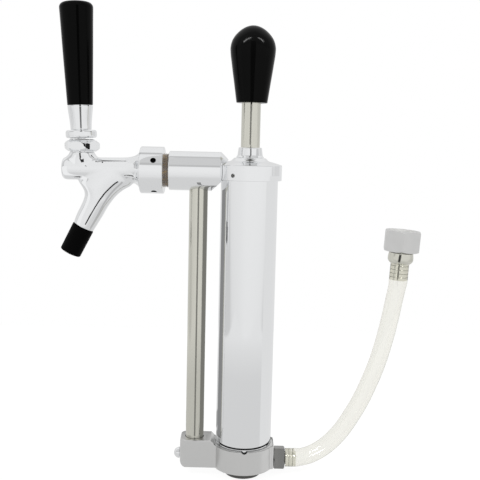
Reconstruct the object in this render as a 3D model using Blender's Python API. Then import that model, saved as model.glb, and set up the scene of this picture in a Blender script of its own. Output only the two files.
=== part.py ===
"""A keg party pump: a hand air pump and a beer tap on one base casting.

The pump barrel stands on the Z axis. +X points to the hose side, -X to the tap, and the
origin is on the underside of the coupler spigot. All lengths are in metres.
"""

import math

import bmesh
import bpy
from mathutils import Matrix, Vector

# Fits and cutting
GAP = 0.0003
OVERRUN = 0.003
MERGE = 0.000001
BIG_STEPS = 32
STEPS = 24
SMALL_STEPS = 16
TINY_STEPS = 8

# Coupler spigot, the dark stub under the casting
SPIGOT_RADIUS = 0.0153
SPIGOT_HEIGHT = 0.0070
SPIGOT_NECK_RADIUS = 0.0117
SPIGOT_NECK_HEIGHT = 0.0023
SPIGOT_NECK_WALL = 0.0033
SPIGOT_NECK_DEPTH = 0.0019
VALVE_BORE_RADIUS = 0.0068
VALVE_SEAT_HEIGHT = 0.0062
VALVE_PORT_RADIUS = 0.0036
SPIGOT_CHAMFER = 0.0006

# Check valve inside the spigot
POPPET_RADIUS = 0.0055
POPPET_THICKNESS = 0.0012
POPPET_STEM_RADIUS = 0.0012
POPPET_STROKE = 0.0010
RETAINER_THICKNESS = 0.0015
RETAINER_LIFT = 0.0003
RETAINER_PORT_RADIUS = 0.0011
RETAINER_PORT_CIRCLE = 0.0043
RETAINER_PORTS = 4
SPRING_WIRE_RADIUS = 0.0002
SPRING_RADIUS = 0.0028
SPRING_TURNS = 2
SPRING_POINTS_PER_TURN = 10

# Coupler gasket in the spigot's underside
GASKET_INNER_RADIUS = 0.0090
GASKET_WIDTH = 0.0048
GASKET_THICKNESS = 0.0018

# Base casting
CUP_HEIGHT = 0.0199
CUP_FLOOR = 0.0127
CUP_WALL = 0.0020
CASTING_HALF_WIDTH = 0.0110
BOSS_WALL = 0.0038
BOSS_RISE = 0.0035
BOSS_SLOPE = 0.0036
BOSS_FOOT_RADIUS = 0.0050
BOSS_TOP_RADIUS = 0.0020
CASTING_EDGE = 0.0007
NOTCH_RADIUS = 0.0030
NOTCH_SHARE = 0.45
NOTCH_X = 0.0010
CHANNEL_RADIUS = 0.0025
PLUG_HEIGHT = 0.0159
INLET_HEIGHT = 0.0136
CHANNEL_OVERLAP = 0.0080
PAD_PROUD = 0.0003
AIR_PORT_RADIUS = 0.0018
AIR_PORT_OFFSET = 0.0060

# Pump barrel and its seal
BARREL_RADIUS = 0.0230
BARREL_WALL = 0.0012
BARREL_LENGTH = 0.2354
BARREL_SEAL_THICKNESS = 0.0020
BARREL_SEAL_WIDTH = 0.0050

# Top cap
CAP_WALL = 0.0027
CAP_SOCKET_DEPTH = 0.0102
CAP_RIM_HEIGHT = 0.0122
CAP_DOME_RISE = 0.0056
CAP_EDGE = 0.0010
CAP_LAND_WIDTH = 0.0012
CAP_FILLET_WIDTH = 0.0024
CAP_FILLET_RISE = 0.0015
SET_SCREW_RADIUS = 0.0013
SET_SCREW_SOCKET_RADIUS = 0.0007
SET_SCREW_SOCKET_DEPTH = 0.0009
SET_SCREW_DEPTH = 0.0009
SET_SCREW_DROP = 0.0058
SET_SCREW_ANGLE = -120.8

# Pump rod and knob
ROD_RADIUS = 0.0077
ROD_WALL = 0.0014
ROD_SHOWN = 0.0353
KNOB_FOOT_RADIUS = 0.0128
KNOB_RADIUS = 0.01855
KNOB_TAPER_HEIGHT = 0.0440
KNOB_CROWN_HEIGHT = 0.0170
KNOB_SOCKET_DEPTH = 0.0250
KNOB_EDGE = 0.0007
KNOB_CROWN_STEPS = 9
KNOB_WAIST_SHARE = 0.93
KNOB_WAIST_HEIGHT_SHARE = 0.87

# Gland nut round the rod, with its bushing and wiper
GLAND_FOOT_RADIUS = 0.0113
GLAND_SHOULDER_RADIUS = 0.0102
GLAND_TOP_RADIUS = 0.0090
GLAND_HEIGHT = 0.0082
GLAND_FOOT_HEIGHT = 0.0018
GLAND_LIP = 0.0018
GLAND_SPIGOT_RADIUS = 0.0107
GLAND_SPIGOT_LENGTH = 0.0072
GLAND_SPIGOT_WALL = 0.0012
WIPER_THICKNESS = 0.0020

# Piston
PISTON_LIFT = 0.0044
PISTON_NUT_HEIGHT = 0.0040
PISTON_NUT_WIDTH = 0.0130
PISTON_WASHER_THICKNESS = 0.0015
PISTON_WASHER_INSET = 0.0030
CUP_SEAL_THICKNESS = 0.0020
CUP_SEAL_LIP = 0.0048
CUP_SEAL_LIP_WALL = 0.0016
PISTON_THICKNESS = 0.0060
PISTON_STUD_RADIUS = 0.0040
PISTON_STUD_TAIL = 0.0006
PISTON_SPIGOT_LENGTH = 0.0180

# Riser tube
RISER_STANDOFF = 0.0080
RISER_RADIUS = 0.0074
RISER_WALL = 0.0010
RISER_SOCKET_RADIUS = 0.0079
RISER_SEAT_DEPTH = 0.0108
RISER_TOP_DROP = 0.0069
SEAL_CORD_RADIUS = 0.00075
SEAL_GROOVE_INSET = 0.0055

# Round plug in the casting's cross drilling
PLUG_HEAD_RADIUS = 0.0047
PLUG_HEAD_HEIGHT = 0.0048
PLUG_SHANK_RADIUS = 0.0031
PLUG_SHANK_LENGTH = 0.0036

# Delivery arm, all along the tap axis
TAP_AXIS_DROP = 0.0036
ARM_RADIUS = 0.0155
ARM_REACH = 0.0240
ARM_CONE = 0.0056
ARM_CONE_INSET = 0.0028
ARM_EDGE = 0.0009
ARM_RELIEF_RUN = 0.0062
ARM_RELIEF_RISE = 0.0060
ARM_BORE_RADIUS = 0.0050
ARM_SOCKET_RADIUS = 0.01405
ARM_SOCKET_DEPTH = 0.0093
ARM_SCREW_RADIUS = 0.0020
ARM_SCREW_LENGTH = 0.0105
ARM_SCREW_HEAD_RADIUS = 0.0034
ARM_SCREW_HEAD_HEIGHT = 0.0026
ARM_SCREW_SLOT = 0.0010

# Threaded shank between arm and tap
THREAD_RADIUS = 0.01375
THREAD_PITCH = 0.00141
THREAD_DEPTH = 0.0007
THREAD_CREST_SHARE = 0.05
THREAD_SHOWN = 0.0042
SHANK_NECK_RADIUS = 0.0123
SHANK_BORE_RADIUS = 0.0045
SNAP_RING_GROOVE_DEPTH = 0.0009
SNAP_RING_THICKNESS = 0.0010
SNAP_RING_SETBACK = 0.0013
SNAP_RING_RADIUS = 0.0133
SNAP_RING_GAP = 0.0060
WASHER_THICKNESS = 0.0017
WASHER_RADIUS = 0.0120
WASHER_BORE_RADIUS = 0.0092

# Coupling nut
NUT_RADIUS = 0.01875
NUT_LENGTH = 0.0191
NUT_EDGE = 0.0009
NUT_BORE_RADIUS = 0.0146
SPANNER_HOLE_RADIUS = 0.0023
SPANNER_HOLE_DEPTH = 0.0032
SPANNER_HOLE_SETBACK = 0.0073
SPANNER_HOLE_ANGLE = 26.0
SPANNER_HOLES = 4

# Tap body
TAP_THREAD_RADIUS = 0.0143
TAP_THREAD_LENGTH = 0.0063
TAP_FLARE_RADIUS = 0.0153
TAP_WAIST_RADIUS = 0.0097
TAP_WAIST_SETBACK = 0.0120
TAP_FRONT_RADIUS = 0.0089
TAP_NOSE_REACH = 0.0165
TAP_NOSE_DOME = 0.0022
TAP_NOSE_EDGE = 0.0020
TAP_FLARE_SHARES = [(0.62, 0.17), (0.32, 0.36), (0.11, 0.64), (0.0, 1.0)]
TAP_NOSE_SHARES = [(1.0, 1.0, 1.0), (0.7, 1.0, 0.3), (0.0, 0.8, 0.0)]
TAP_NOSE_TIP_SHARES = (0.4, 0.2)
TOWER_REACH = 0.0539
TOWER_RADIUS = 0.0101
TOWER_HEIGHT = 0.0136
TOWER_THREAD_RADIUS = 0.0095
TOWER_THREAD_HEIGHT = 0.0045
TOWER_BORE_RADIUS = 0.0080
TOWER_LEDGE_HEIGHT = 0.0049
TOWER_LEDGE_RADIUS = 0.0058
GUIDE_BORE_RADIUS = 0.0046
GUIDE_FRONT = 0.0124
GUIDE_REAR = 0.0181
FLOW_BORE_RADIUS = 0.0060
SEAT_SETBACK = 0.0108
SEAT_CHAMBER_RADIUS = 0.0090

# Spout
SPOUT_ANGLE = 26.9
SPOUT_DROP = 0.0534
SPOUT_REACH = 0.0251
SPOUT_RADIUS = 0.0087
SPOUT_TIP_RADIUS = 0.0069
SPOUT_BORE_RADIUS = 0.0052
SLEEVE_LENGTH = 0.0233
SLEEVE_TOP_RADIUS = 0.00885
SLEEVE_END_RADIUS = 0.00820
SLEEVE_BORE_RADIUS = 0.0072
SPOUT_TIP_SETBACK = 0.0008

# The spout at shares of its drop above the sleeve: half-widths to the nose side, to the shank
# side and to the front and back, as shares of its radius
SPOUT_SHARES = [
    (0.0, 1.00, 1.00, 1.00), (0.12, 1.04, 1.05, 1.02), (0.29, 1.05, 1.13, 1.05),
    (0.37, 1.08, 1.15, 1.06), (0.45, 1.19, 1.18, 1.07), (0.51, 1.45, 1.23, 1.08),
    (0.56, 1.95, 1.28, 1.08), (0.60, 2.35, 1.33, 1.08), (0.66, 2.35, 1.40, 1.08),
    (0.75, 2.30, 1.59, 1.07), (0.83, 2.25, 1.84, 1.06), (0.89, 2.20, 2.08, 1.04),
    (0.94, 2.10, 2.10, 1.02), (1.0, 1.6, 1.6, 0.98),
]

# The tower at shares of its height: half-length and half-width as shares of its radius
TOWER_SHARES = [
    (0.0, 1.35, 0.80), (0.35, 1.38, 0.88), (0.58, 1.38, 0.92), (0.70, 1.24, 0.95),
    (0.80, 1.10, 0.98), (0.92, 1.0, 1.0), (1.0, 1.0, 1.0),
]

# Lever and what holds its ball
LEVER_LEAN = 2.45
PIVOT_RISE = 0.0104
BALL_RADIUS = 0.00635
LEVER_NECK_RADIUS = 0.0032
LEVER_PIN_RADIUS = 0.0020
LEVER_TIP_RADIUS = 0.0024
COLLAR_RADIUS = 0.01235
COLLAR_RISE = 0.0141
COLLAR_HEIGHT = 0.0063
COLLAR_EDGE = 0.0017
COLLAR_DISH_RADIUS = 0.0102
COLLAR_DISH_DEPTH = 0.0022
STUD_RADIUS = 0.0047
STUD_LENGTH = 0.0150
BALL_WASHER_THICKNESS = 0.0016
BALL_WASHER_BORE_RADIUS = 0.0055
FRICTION_RING_BORE_RADIUS = 0.0059
FRICTION_RING_MOUTH_RADIUS = 0.0071
FRICTION_RING_FOOT = 0.0004
FRICTION_RING_THROAT = 0.0030
BONNET_WIDTH = 0.0260
BONNET_HEIGHT = 0.0088
BONNET_ANGLE = 292.0
BONNET_CHAMFER_SLOPE = 34.0
BONNET_FACE_RADIUS = 0.0108
BONNET_THROAT_RADIUS = 0.0074
BONNET_MOUTH_RADIUS = 0.0090
COLLAR_ROUND_SHARE = 0.3

# Handle
FERRULE_LENGTH = 0.0193
FERRULE_FOOT_RADIUS = 0.0083
FERRULE_HEAD_RADIUS = 0.0101
FERRULE_BORE_RADIUS = 0.0050
FERRULE_BORE_DEPTH = 0.0165
FERRULE_SPIGOT_RADIUS = 0.0060
FERRULE_SPIGOT_LENGTH = 0.0180
FERRULE_SHARES = [(0.0, 0.0), (0.19, 0.34), (0.60, 0.63), (0.94, 0.91), (1.0, 1.0)]
HANDLE_LENGTH = 0.0812
HANDLE_FOOT_RADIUS = 0.0105
HANDLE_HEAD_RADIUS = 0.0138
HANDLE_EDGE = 0.0034
HANDLE_FOOT_EDGE = 0.0006
INSERT_RADIUS = 0.0092
INSERT_DEPTH = 0.0020
INSERT_CROWN = 0.0010
INSERT_SHARES = [(0.8, 0.7), (0.4, 0.95)]

# Valve shaft
SHAFT_RADIUS = 0.0043
SHAFT_STEM_RADIUS = 0.0026
SHAFT_SHOULDER_RADIUS = 0.0036
SHAFT_SHOULDER_LENGTH = 0.0015
SHAFT_FRONT_SETBACK = 0.0010
SHAFT_TAPER = 0.0020
SHAFT_SLOT_CLEARANCE = 0.0004
SHAFT_SLOT_FLOOR = 0.0029
SHAFT_SLOT_FLARE = 0.0050
SEAT_WASHER_RADIUS = 0.0076
SEAT_WASHER_THICKNESS = 0.0025
SHAFT_NUT_WIDTH = 0.0090
SHAFT_NUT_HEIGHT = 0.0029

# Inlet barb in the casting's right side
INLET_HEX_WIDTH = 0.0170
INLET_HEX_LENGTH = 0.0093
INLET_HEX_ANGLE = 22.0
INLET_STUB_RADIUS = 0.0048
INLET_STUB_LENGTH = 0.0110
BARB_RADIUS = 0.00430
BARB_ROOT_RADIUS = 0.0039
BARB_PITCH = 0.0031
BARB_BORE_RADIUS = 0.0028
BARB_SHARES = (0.15, 0.95)
INLET_BARBS = 3
TAIL_BARBS = 5
HEX_CHAMFER = 0.0012
HEX_CHAMFER_SLOPE = 28.0

# Hose
HOSE_RADIUS = 0.00715
HOSE_BORE_RADIUS = 0.00475
HOSE_POINT_SPACING_SHARE = 0.75
HOSE_BEVEL_RESOLUTION = 3
HOSE_BORE_RESOLUTION = 2
HOSE_ROUTE = [
    (0.0359, 0.0136), (0.0407, 0.0136), (0.0456, 0.0136), (0.0508, 0.0143), (0.0573, 0.0167),
    (0.0654, 0.0218), (0.0737, 0.0292), (0.0818, 0.0388), (0.0897, 0.0513), (0.0976, 0.0662),
    (0.1050, 0.0837), (0.1107, 0.1004), (0.1153, 0.1176), (0.1189, 0.1347), (0.1220, 0.1517),
    (0.1245, 0.1651), (0.12509, 0.1745), (0.12567, 0.1840),
]

# Hose-end fittings, on an axis that leans right
END_LEAN = 3.5
TAIL_STEM_RADIUS = 0.0052
TAIL_COLLAR_RADIUS = 0.0102
TAIL_COLLAR_TOP_RADIUS = 0.0092
TAIL_COLLAR_FOOT_RADIUS = 0.0078
TAIL_COLLAR_HEIGHT = 0.0082
TAIL_COLLAR_SHARES = (0.30, 0.52)
TAIL_NECK_RADIUS = 0.0079
TAIL_FLANGE_RADIUS = 0.0104
TAIL_FLANGE_THICKNESS = 0.0025
HOSE_NUT_WIDTH = 0.0275
HOSE_NUT_HEIGHT = 0.0174
HOSE_NUT_LIP = 0.0034
HOSE_NUT_BORE_RADIUS = 0.0111
HOSE_NUT_ANGLE = 263.0
HOSE_NUT_CHAMFER = 0.0011
NUT_WASHER_RADIUS = 0.0106
NUT_WASHER_BORE_RADIUS = 0.0044
NUT_WASHER_THICKNESS = 0.0020

# Heights and places that follow from the sizes above
CASTING_BOTTOM = SPIGOT_HEIGHT + GAP
CUP_TOP = CASTING_BOTTOM + CUP_HEIGHT
SOCKET_FLOOR = CASTING_BOTTOM + CUP_FLOOR
SOCKET_RADIUS = BARREL_RADIUS + GAP
CUP_RADIUS = SOCKET_RADIUS + CUP_WALL
PAD_REACH = CUP_RADIUS + PAD_PROUD
BOSS_TOP = CUP_TOP + BOSS_RISE
RISER_OFFSET = CUP_RADIUS + RISER_STANDOFF + RISER_SOCKET_RADIUS
BOSS_REACH = RISER_OFFSET + RISER_SOCKET_RADIUS + BOSS_WALL
BARREL_SEAL_BOTTOM = SOCKET_FLOOR + GAP
BARREL_BOTTOM = BARREL_SEAL_BOTTOM + BARREL_SEAL_THICKNESS + GAP
BARREL_TOP = BARREL_BOTTOM + BARREL_LENGTH
BARREL_BORE_RADIUS = BARREL_RADIUS - BARREL_WALL
ARM_SCREW_SEAT = math.sqrt(BARREL_BORE_RADIUS ** 2 - ARM_SCREW_HEAD_RADIUS ** 2) - GAP
CAP_ROOF = BARREL_TOP + GAP
CAP_BOTTOM = CAP_ROOF - CAP_SOCKET_DEPTH
CAP_RADIUS = SOCKET_RADIUS + CAP_WALL
CAP_RIM_TOP = CAP_BOTTOM + CAP_RIM_HEIGHT
ARM_CONE_START = CAP_RADIUS - ARM_CONE_INSET
CAP_TOP = CAP_RIM_TOP + CAP_DOME_RISE
TAP_AXIS = BARREL_TOP - TAP_AXIS_DROP
ROD_BORE_RADIUS = ROD_RADIUS - ROD_WALL
GLAND_BOTTOM = CAP_TOP + GAP
GLAND_TOP = GLAND_BOTTOM + GLAND_HEIGHT
GLAND_BORE_RADIUS = ROD_RADIUS + GAP
GLAND_POCKET_RADIUS = GLAND_SPIGOT_RADIUS - GLAND_SPIGOT_WALL
KNOB_BOTTOM = GLAND_TOP + ROD_SHOWN
KNOB_EQUATOR = KNOB_BOTTOM + KNOB_TAPER_HEIGHT
PISTON_NUT_BOTTOM = SOCKET_FLOOR + PISTON_LIFT
PISTON_WASHER_BOTTOM = PISTON_NUT_BOTTOM + PISTON_NUT_HEIGHT + GAP
CUP_SEAL_BOTTOM = PISTON_WASHER_BOTTOM + PISTON_WASHER_THICKNESS + GAP
PISTON_BOTTOM = CUP_SEAL_BOTTOM + CUP_SEAL_THICKNESS + GAP
PISTON_TOP = PISTON_BOTTOM + PISTON_THICKNESS
PISTON_RADIUS = BARREL_BORE_RADIUS - GAP
ROD_BOTTOM = PISTON_TOP + GAP
RISER_X = -RISER_OFFSET
RISER_BOTTOM = BOSS_TOP - RISER_SEAT_DEPTH
RISER_TOP = TAP_AXIS - RISER_TOP_DROP
ARM_BOTTOM = TAP_AXIS - ARM_RADIUS
ARM_LEFT = RISER_X - ARM_REACH
NUT_RIGHT = ARM_LEFT - THREAD_SHOWN
NUT_LEFT = NUT_RIGHT - NUT_LENGTH
TAP_FACE = NUT_LEFT - GAP
TAP_REAR = NUT_LEFT + TAP_THREAD_LENGTH
WASHER_LEFT = TAP_REAR + GAP
SHANK_END = WASHER_LEFT + WASHER_THICKNESS + GAP
SEAT_FACE = TAP_REAR - SEAT_SETBACK
TOWER_X = TAP_REAR - TOWER_REACH
TOWER_TOP = TAP_AXIS + TOWER_HEIGHT
NOSE_X = TOWER_X - TAP_NOSE_REACH
PIVOT = Vector((TOWER_X, 0.0, TAP_AXIS + PIVOT_RISE))
LEAN = math.radians(LEVER_LEAN)
TIP_X = TOWER_X + PIVOT_RISE * math.tan(LEAN)
SPOUT_TILT = math.radians(SPOUT_ANGLE)
SPOUT_DOWN = Vector((-math.sin(SPOUT_TILT), 0.0, -math.cos(SPOUT_TILT)))
SPOUT_TOP = Vector((TOWER_X + SPOUT_REACH, 0.0, TAP_AXIS))
SLEEVE_TOP = SPOUT_TOP + SPOUT_DOWN * SPOUT_DROP
TAP_TURN = (0.0, -math.pi / 2, 0.0)
RIGHT_TURN = (0.0, math.pi / 2, 0.0)
SPOUT_TURN = (0.0, math.pi + SPOUT_TILT, 0.0)
LEVER_TURN = (0.0, -LEAN, 0.0)


for old in list(bpy.data.objects):
    bpy.data.objects.remove(old)


def finish(name, colour, roughness, metallic=1.0):
    """A plain Principled material for a part."""
    made = bpy.data.materials.new(name)
    made.use_nodes = True
    shader = made.node_tree.nodes["Principled BSDF"]
    shader.inputs["Base Color"].default_value = (*colour, 1.0)
    shader.inputs["Roughness"].default_value = roughness
    shader.inputs["Metallic"].default_value = metallic
    return made


CHROME = finish("polished_chrome", (0.80, 0.80, 0.82), 0.08)
STAINLESS = finish("drawn_stainless", (0.62, 0.61, 0.58), 0.28)
CASTING = finish("satin_casting", (0.60, 0.60, 0.60), 0.35)
DARK_METAL = finish("dark_nickel", (0.16, 0.16, 0.17), 0.40)
BRASS = finish("turned_brass", (0.55, 0.42, 0.22), 0.30)
SPRING_STEEL = finish("spring_steel", (0.45, 0.45, 0.47), 0.30)
BLACK_PLASTIC = finish("black_plastic", (0.008, 0.008, 0.008), 0.15, 0.0)
BLACK_RUBBER = finish("black_rubber", (0.015, 0.015, 0.015), 0.60, 0.0)
WHITE_NYLON = finish("white_nylon", (0.75, 0.74, 0.70), 0.45, 0.0)
CLEAR_VINYL = finish("clear_vinyl", (0.85, 0.86, 0.82), 0.10, 0.0)


def piece(name, shape, material, place=(0.0, 0.0, 0.0), turn=(0.0, 0.0, 0.0)):
    """Puts a finished bmesh in the scene as one object."""
    mesh = bpy.data.meshes.new(name)
    shape.to_mesh(mesh)
    shape.free()
    made = bpy.data.objects.new(name, mesh)
    made.location = place
    made.rotation_euler = turn
    mesh.materials.append(material)
    bpy.context.collection.objects.link(made)
    return made


def turned(name, outline, material, place=(0.0, 0.0, 0.0), turn=(0.0, 0.0, 0.0), steps=STEPS):
    """Spins (radius, height) points round local Z. A ring's outline never meets the axis and
    closes on itself; a solid's outline starts and ends on the axis."""
    shape = bmesh.new()
    corners = [shape.verts.new((radius, 0.0, height)) for radius, height in outline]
    ends = corners[1:] + corners[:1] if outline[0][0] > 0 else corners[1:]
    edges = [shape.edges.new(pair) for pair in zip(corners, ends)]
    bmesh.ops.spin(
        shape, geom=corners + edges, axis=(0, 0, 1), cent=(0, 0, 0),
        steps=steps, angle=2 * math.pi, use_merge=True, use_duplicate=False,
    )
    bmesh.ops.remove_doubles(shape, verts=shape.verts[:], dist=MERGE)
    bmesh.ops.recalc_face_normals(shape, faces=shape.faces[:])
    flat_centres = [
        v for v in shape.verts
        if v.co.xy.length < MERGE and all(1 - abs(f.normal.z) < MERGE for f in v.link_faces)
    ]
    bmesh.ops.dissolve_verts(shape, verts=flat_centres)
    return piece(name, shape, material, place, turn)


def rod(name, radius, low, high, material=STAINLESS, place=(0.0, 0.0, 0.0), turn=(0.0, 0.0, 0.0),
        steps=STEPS):
    """A plain cylinder along local Z."""
    return turned(name, [(0, low), (radius, low), (radius, high), (0, high)],
                  material, place, turn, steps)


def ring(name, inner, outer, low, high, material, place=(0.0, 0.0, 0.0), turn=(0.0, 0.0, 0.0),
         steps=STEPS):
    """A plain tube or washer along local Z."""
    return turned(name, [(outer, high), (inner, high), (inner, low), (outer, low)],
                  material, place, turn, steps)


def seal_cord(name, centre_radius, height, place):
    """An O-ring: a round cord bent into a ring."""
    sides = 8
    outline = [
        (centre_radius + SEAL_CORD_RADIUS * math.cos(2 * math.pi * k / sides),
         height + SEAL_CORD_RADIUS * math.sin(2 * math.pi * k / sides))
        for k in range(sides)
    ]
    return turned(name, outline, BLACK_RUBBER, place, steps=SMALL_STEPS)


def extruded(name, outline, half_depth, material, place=(0.0, 0.0, 0.0), turn=(0.0, 0.0, 0.0)):
    """Pulls an (x, z) outline out along Y, equally to both sides."""
    shape = bmesh.new()
    face = shape.faces.new([shape.verts.new((x, -half_depth, z)) for x, z in outline])
    pulled = bmesh.ops.extrude_face_region(shape, geom=[face])
    moved = [v for v in pulled["geom"] if isinstance(v, bmesh.types.BMVert)]
    bmesh.ops.translate(shape, verts=moved, vec=(0.0, 2 * half_depth, 0.0))
    bmesh.ops.recalc_face_normals(shape, faces=shape.faces[:])
    return piece(name, shape, material, place, turn)


def lofted(name, rings, material):
    """Bridges equal rings of points and caps both ends."""
    shape = bmesh.new()
    rows = [[shape.verts.new(point) for point in points] for points in rings]
    loops = [
        [shape.edges.new((row[k - 1], row[k])) for k in range(len(row))] for row in rows
    ]
    for lower, upper in zip(loops, loops[1:]):
        bmesh.ops.bridge_loops(shape, edges=lower + upper)
    for row in (rows[0], rows[-1]):
        shape.faces.new(row)
    bmesh.ops.recalc_face_normals(shape, faces=shape.faces[:])
    return piece(name, shape, material)


def combine(target, tools, operation):
    """Adds, cuts or intersects whole objects, and removes the tools."""
    for tool in tools:
        tool.hide_render = True
        tool.display_type = "WIRE"
        step = target.modifiers.new(tool.name, "BOOLEAN")
        step.operation = operation
        step.solver = "EXACT"
        step.object = tool
    bpy.context.view_layer.update()
    seen = bpy.context.evaluated_depsgraph_get()
    shaped = bpy.data.meshes.new_from_object(target.evaluated_get(seen))
    target.modifiers.clear()
    target.data = shaped
    for tool in tools:
        bpy.data.objects.remove(tool)
    return target


def cut(target, *tools):
    return combine(target, tools, "DIFFERENCE")


def fuse(target, *tools):
    return combine(target, tools, "UNION")


def hexagon(name, width, low, high, chamfer, material, place, turn, angle=0.0, face_radius=None,
            slope=HEX_CHAMFER_SLOPE):
    """A hexagonal nut blank along local Z with turned corners at both ends."""
    corner = width / math.sqrt(3)
    flat = face_radius or corner - chamfer
    fall = (corner - flat) * math.tan(math.radians(slope))
    made = rod(name, corner, low, high, material, place, turn, steps=6)
    made.data.transform(Matrix.Rotation(math.radians(angle), 4, "Z"))
    envelope = turned(
        name + "_corners",
        [(0, low), (flat, low), (corner, low + fall), (corner, high - fall), (flat, high), (0, high)],
        material, place, turn, BIG_STEPS,
    )
    return combine(made, [envelope], "INTERSECT")


def arc(centre, radius, start, end, steps=4):
    """Points along an arc in the XZ plane, angles in degrees from +X towards +Z."""
    return [
        (centre[0] + radius * math.cos(math.radians(start + (end - start) * k / steps)),
         centre[1] + radius * math.sin(math.radians(start + (end - start) * k / steps)))
        for k in range(steps + 1)
    ]


def along(points, spacing):
    """A smooth curve through the points, read at even steps. Returns vectors in the XZ plane."""
    padded = [points[0] * 2 - points[1], *points, points[-1] * 2 - points[-2]]
    fine = []
    for a, b, c, d in zip(padded, padded[1:], padded[2:], padded[3:]):
        for k in range(12):
            t = k / 12
            fine.append(0.5 * (
                b * 2 + (c - a) * t + (a * 2 - b * 5 + c * 4 - d) * t * t
                + (b * 3 - a - c * 3 + d) * t ** 3
            ))
    fine.append(points[-1])
    lengths = [0.0]
    for a, b in zip(fine, fine[1:]):
        lengths.append(lengths[-1] + (b - a).length)
    count = max(2, round(lengths[-1] / spacing))
    even, at = [], 0
    for k in range(count + 1):
        wanted = lengths[-1] * k / count
        while at < len(lengths) - 2 and lengths[at + 1] < wanted:
            at += 1
        share = (wanted - lengths[at]) / (lengths[at + 1] - lengths[at])
        even.append(fine[at].lerp(fine[at + 1], share))
    return even, lengths[-1]


def pipe(name, points, radius, resolution, material):
    """A round solid along a path: a curve with a bevel, turned into a mesh."""
    curve = bpy.data.curves.new(name, "CURVE")
    curve.dimensions = "3D"
    curve.bevel_depth = radius
    curve.bevel_resolution = resolution
    curve.use_fill_caps = True
    spline = curve.splines.new("POLY")
    spline.points.add(len(points) - 1)
    for spot, point in zip(spline.points, points):
        spot.co = (*point, 1.0)
    drawn = bpy.data.objects.new(name + "_path", curve)
    bpy.context.collection.objects.link(drawn)
    bpy.context.view_layer.update()
    seen = bpy.context.evaluated_depsgraph_get()
    mesh = bpy.data.meshes.new_from_object(drawn.evaluated_get(seen))
    bpy.data.objects.remove(drawn)
    shape = bmesh.new()
    shape.from_mesh(mesh)
    bmesh.ops.remove_doubles(shape, verts=shape.verts[:], dist=MERGE)
    bmesh.ops.recalc_face_normals(shape, faces=shape.faces[:])
    return piece(name, shape, material)


def make_spigot():
    """The dark stub that screws into the casting and carries the check valve."""
    neck_top = SPIGOT_HEIGHT + SPIGOT_NECK_HEIGHT
    recess = neck_top - SPIGOT_NECK_DEPTH
    neck_bore = SPIGOT_NECK_RADIUS - SPIGOT_NECK_WALL
    groove_outer = GASKET_INNER_RADIUS + GASKET_WIDTH + 2 * GAP
    groove_top = GASKET_THICKNESS + GAP
    turned("coupler_spigot", [
        (SPIGOT_RADIUS - SPIGOT_CHAMFER, 0), (SPIGOT_RADIUS, SPIGOT_CHAMFER),
        (SPIGOT_RADIUS, SPIGOT_HEIGHT), (SPIGOT_NECK_RADIUS, SPIGOT_HEIGHT),
        (SPIGOT_NECK_RADIUS, neck_top), (neck_bore, neck_top), (neck_bore, recess),
        (VALVE_PORT_RADIUS, recess), (VALVE_PORT_RADIUS, VALVE_SEAT_HEIGHT),
        (VALVE_BORE_RADIUS, VALVE_SEAT_HEIGHT), (VALVE_BORE_RADIUS, 0),
        (GASKET_INNER_RADIUS, 0), (GASKET_INNER_RADIUS, groove_top),
        (groove_outer, groove_top), (groove_outer, 0),
    ], DARK_METAL, steps=BIG_STEPS)
    ring("coupler_gasket", GASKET_INNER_RADIUS + GAP, GASKET_INNER_RADIUS + GAP + GASKET_WIDTH,
         0, GASKET_THICKNESS, BLACK_RUBBER, steps=BIG_STEPS)


def make_check_valve():
    """A rubber poppet under its seat, its spring, and the disc that guides its stem."""
    poppet_top = VALVE_SEAT_HEIGHT - GAP
    poppet_bottom = poppet_top - POPPET_THICKNESS
    retainer_top = RETAINER_LIFT + RETAINER_THICKNESS
    stem_bottom = RETAINER_LIFT + POPPET_STROKE + GAP / 3
    turned("check_valve_poppet", [
        (0, poppet_top), (POPPET_RADIUS, poppet_top), (POPPET_RADIUS, poppet_bottom),
        (POPPET_STEM_RADIUS, poppet_bottom), (POPPET_STEM_RADIUS, stem_bottom), (0, stem_bottom),
    ], BLACK_RUBBER, steps=SMALL_STEPS)
    retainer = ring("check_valve_retainer", POPPET_STEM_RADIUS + GAP, VALVE_BORE_RADIUS - GAP,
                    RETAINER_LIFT, retainer_top, BRASS, steps=SMALL_STEPS)
    ports = []
    for k in range(RETAINER_PORTS):
        angle = 2 * math.pi * k / RETAINER_PORTS
        centre = (RETAINER_PORT_CIRCLE * math.cos(angle), RETAINER_PORT_CIRCLE * math.sin(angle), 0.0)
        ports.append(rod("port", RETAINER_PORT_RADIUS, -OVERRUN, retainer_top + OVERRUN,
                         place=centre, steps=TINY_STEPS))
    cut(retainer, *ports)
    low = retainer_top + GAP + SPRING_WIRE_RADIUS
    high = poppet_bottom - GAP - SPRING_WIRE_RADIUS
    count = round(SPRING_TURNS * SPRING_POINTS_PER_TURN)
    wire = []
    for k in range(count + 1):
        angle = 2 * math.pi * k / SPRING_POINTS_PER_TURN
        wire.append(Vector((SPRING_RADIUS * math.cos(angle), SPRING_RADIUS * math.sin(angle),
                            low + (high - low) * k / count)))
    pipe("check_valve_spring", wire, SPRING_WIRE_RADIUS, 1, SPRING_STEEL)
    spare = (high - low) / SPRING_TURNS - 2 * SPRING_WIRE_RADIUS
    print(f"check valve spring: least gap between its turns {spare * 1000:.2f} mm")


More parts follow.
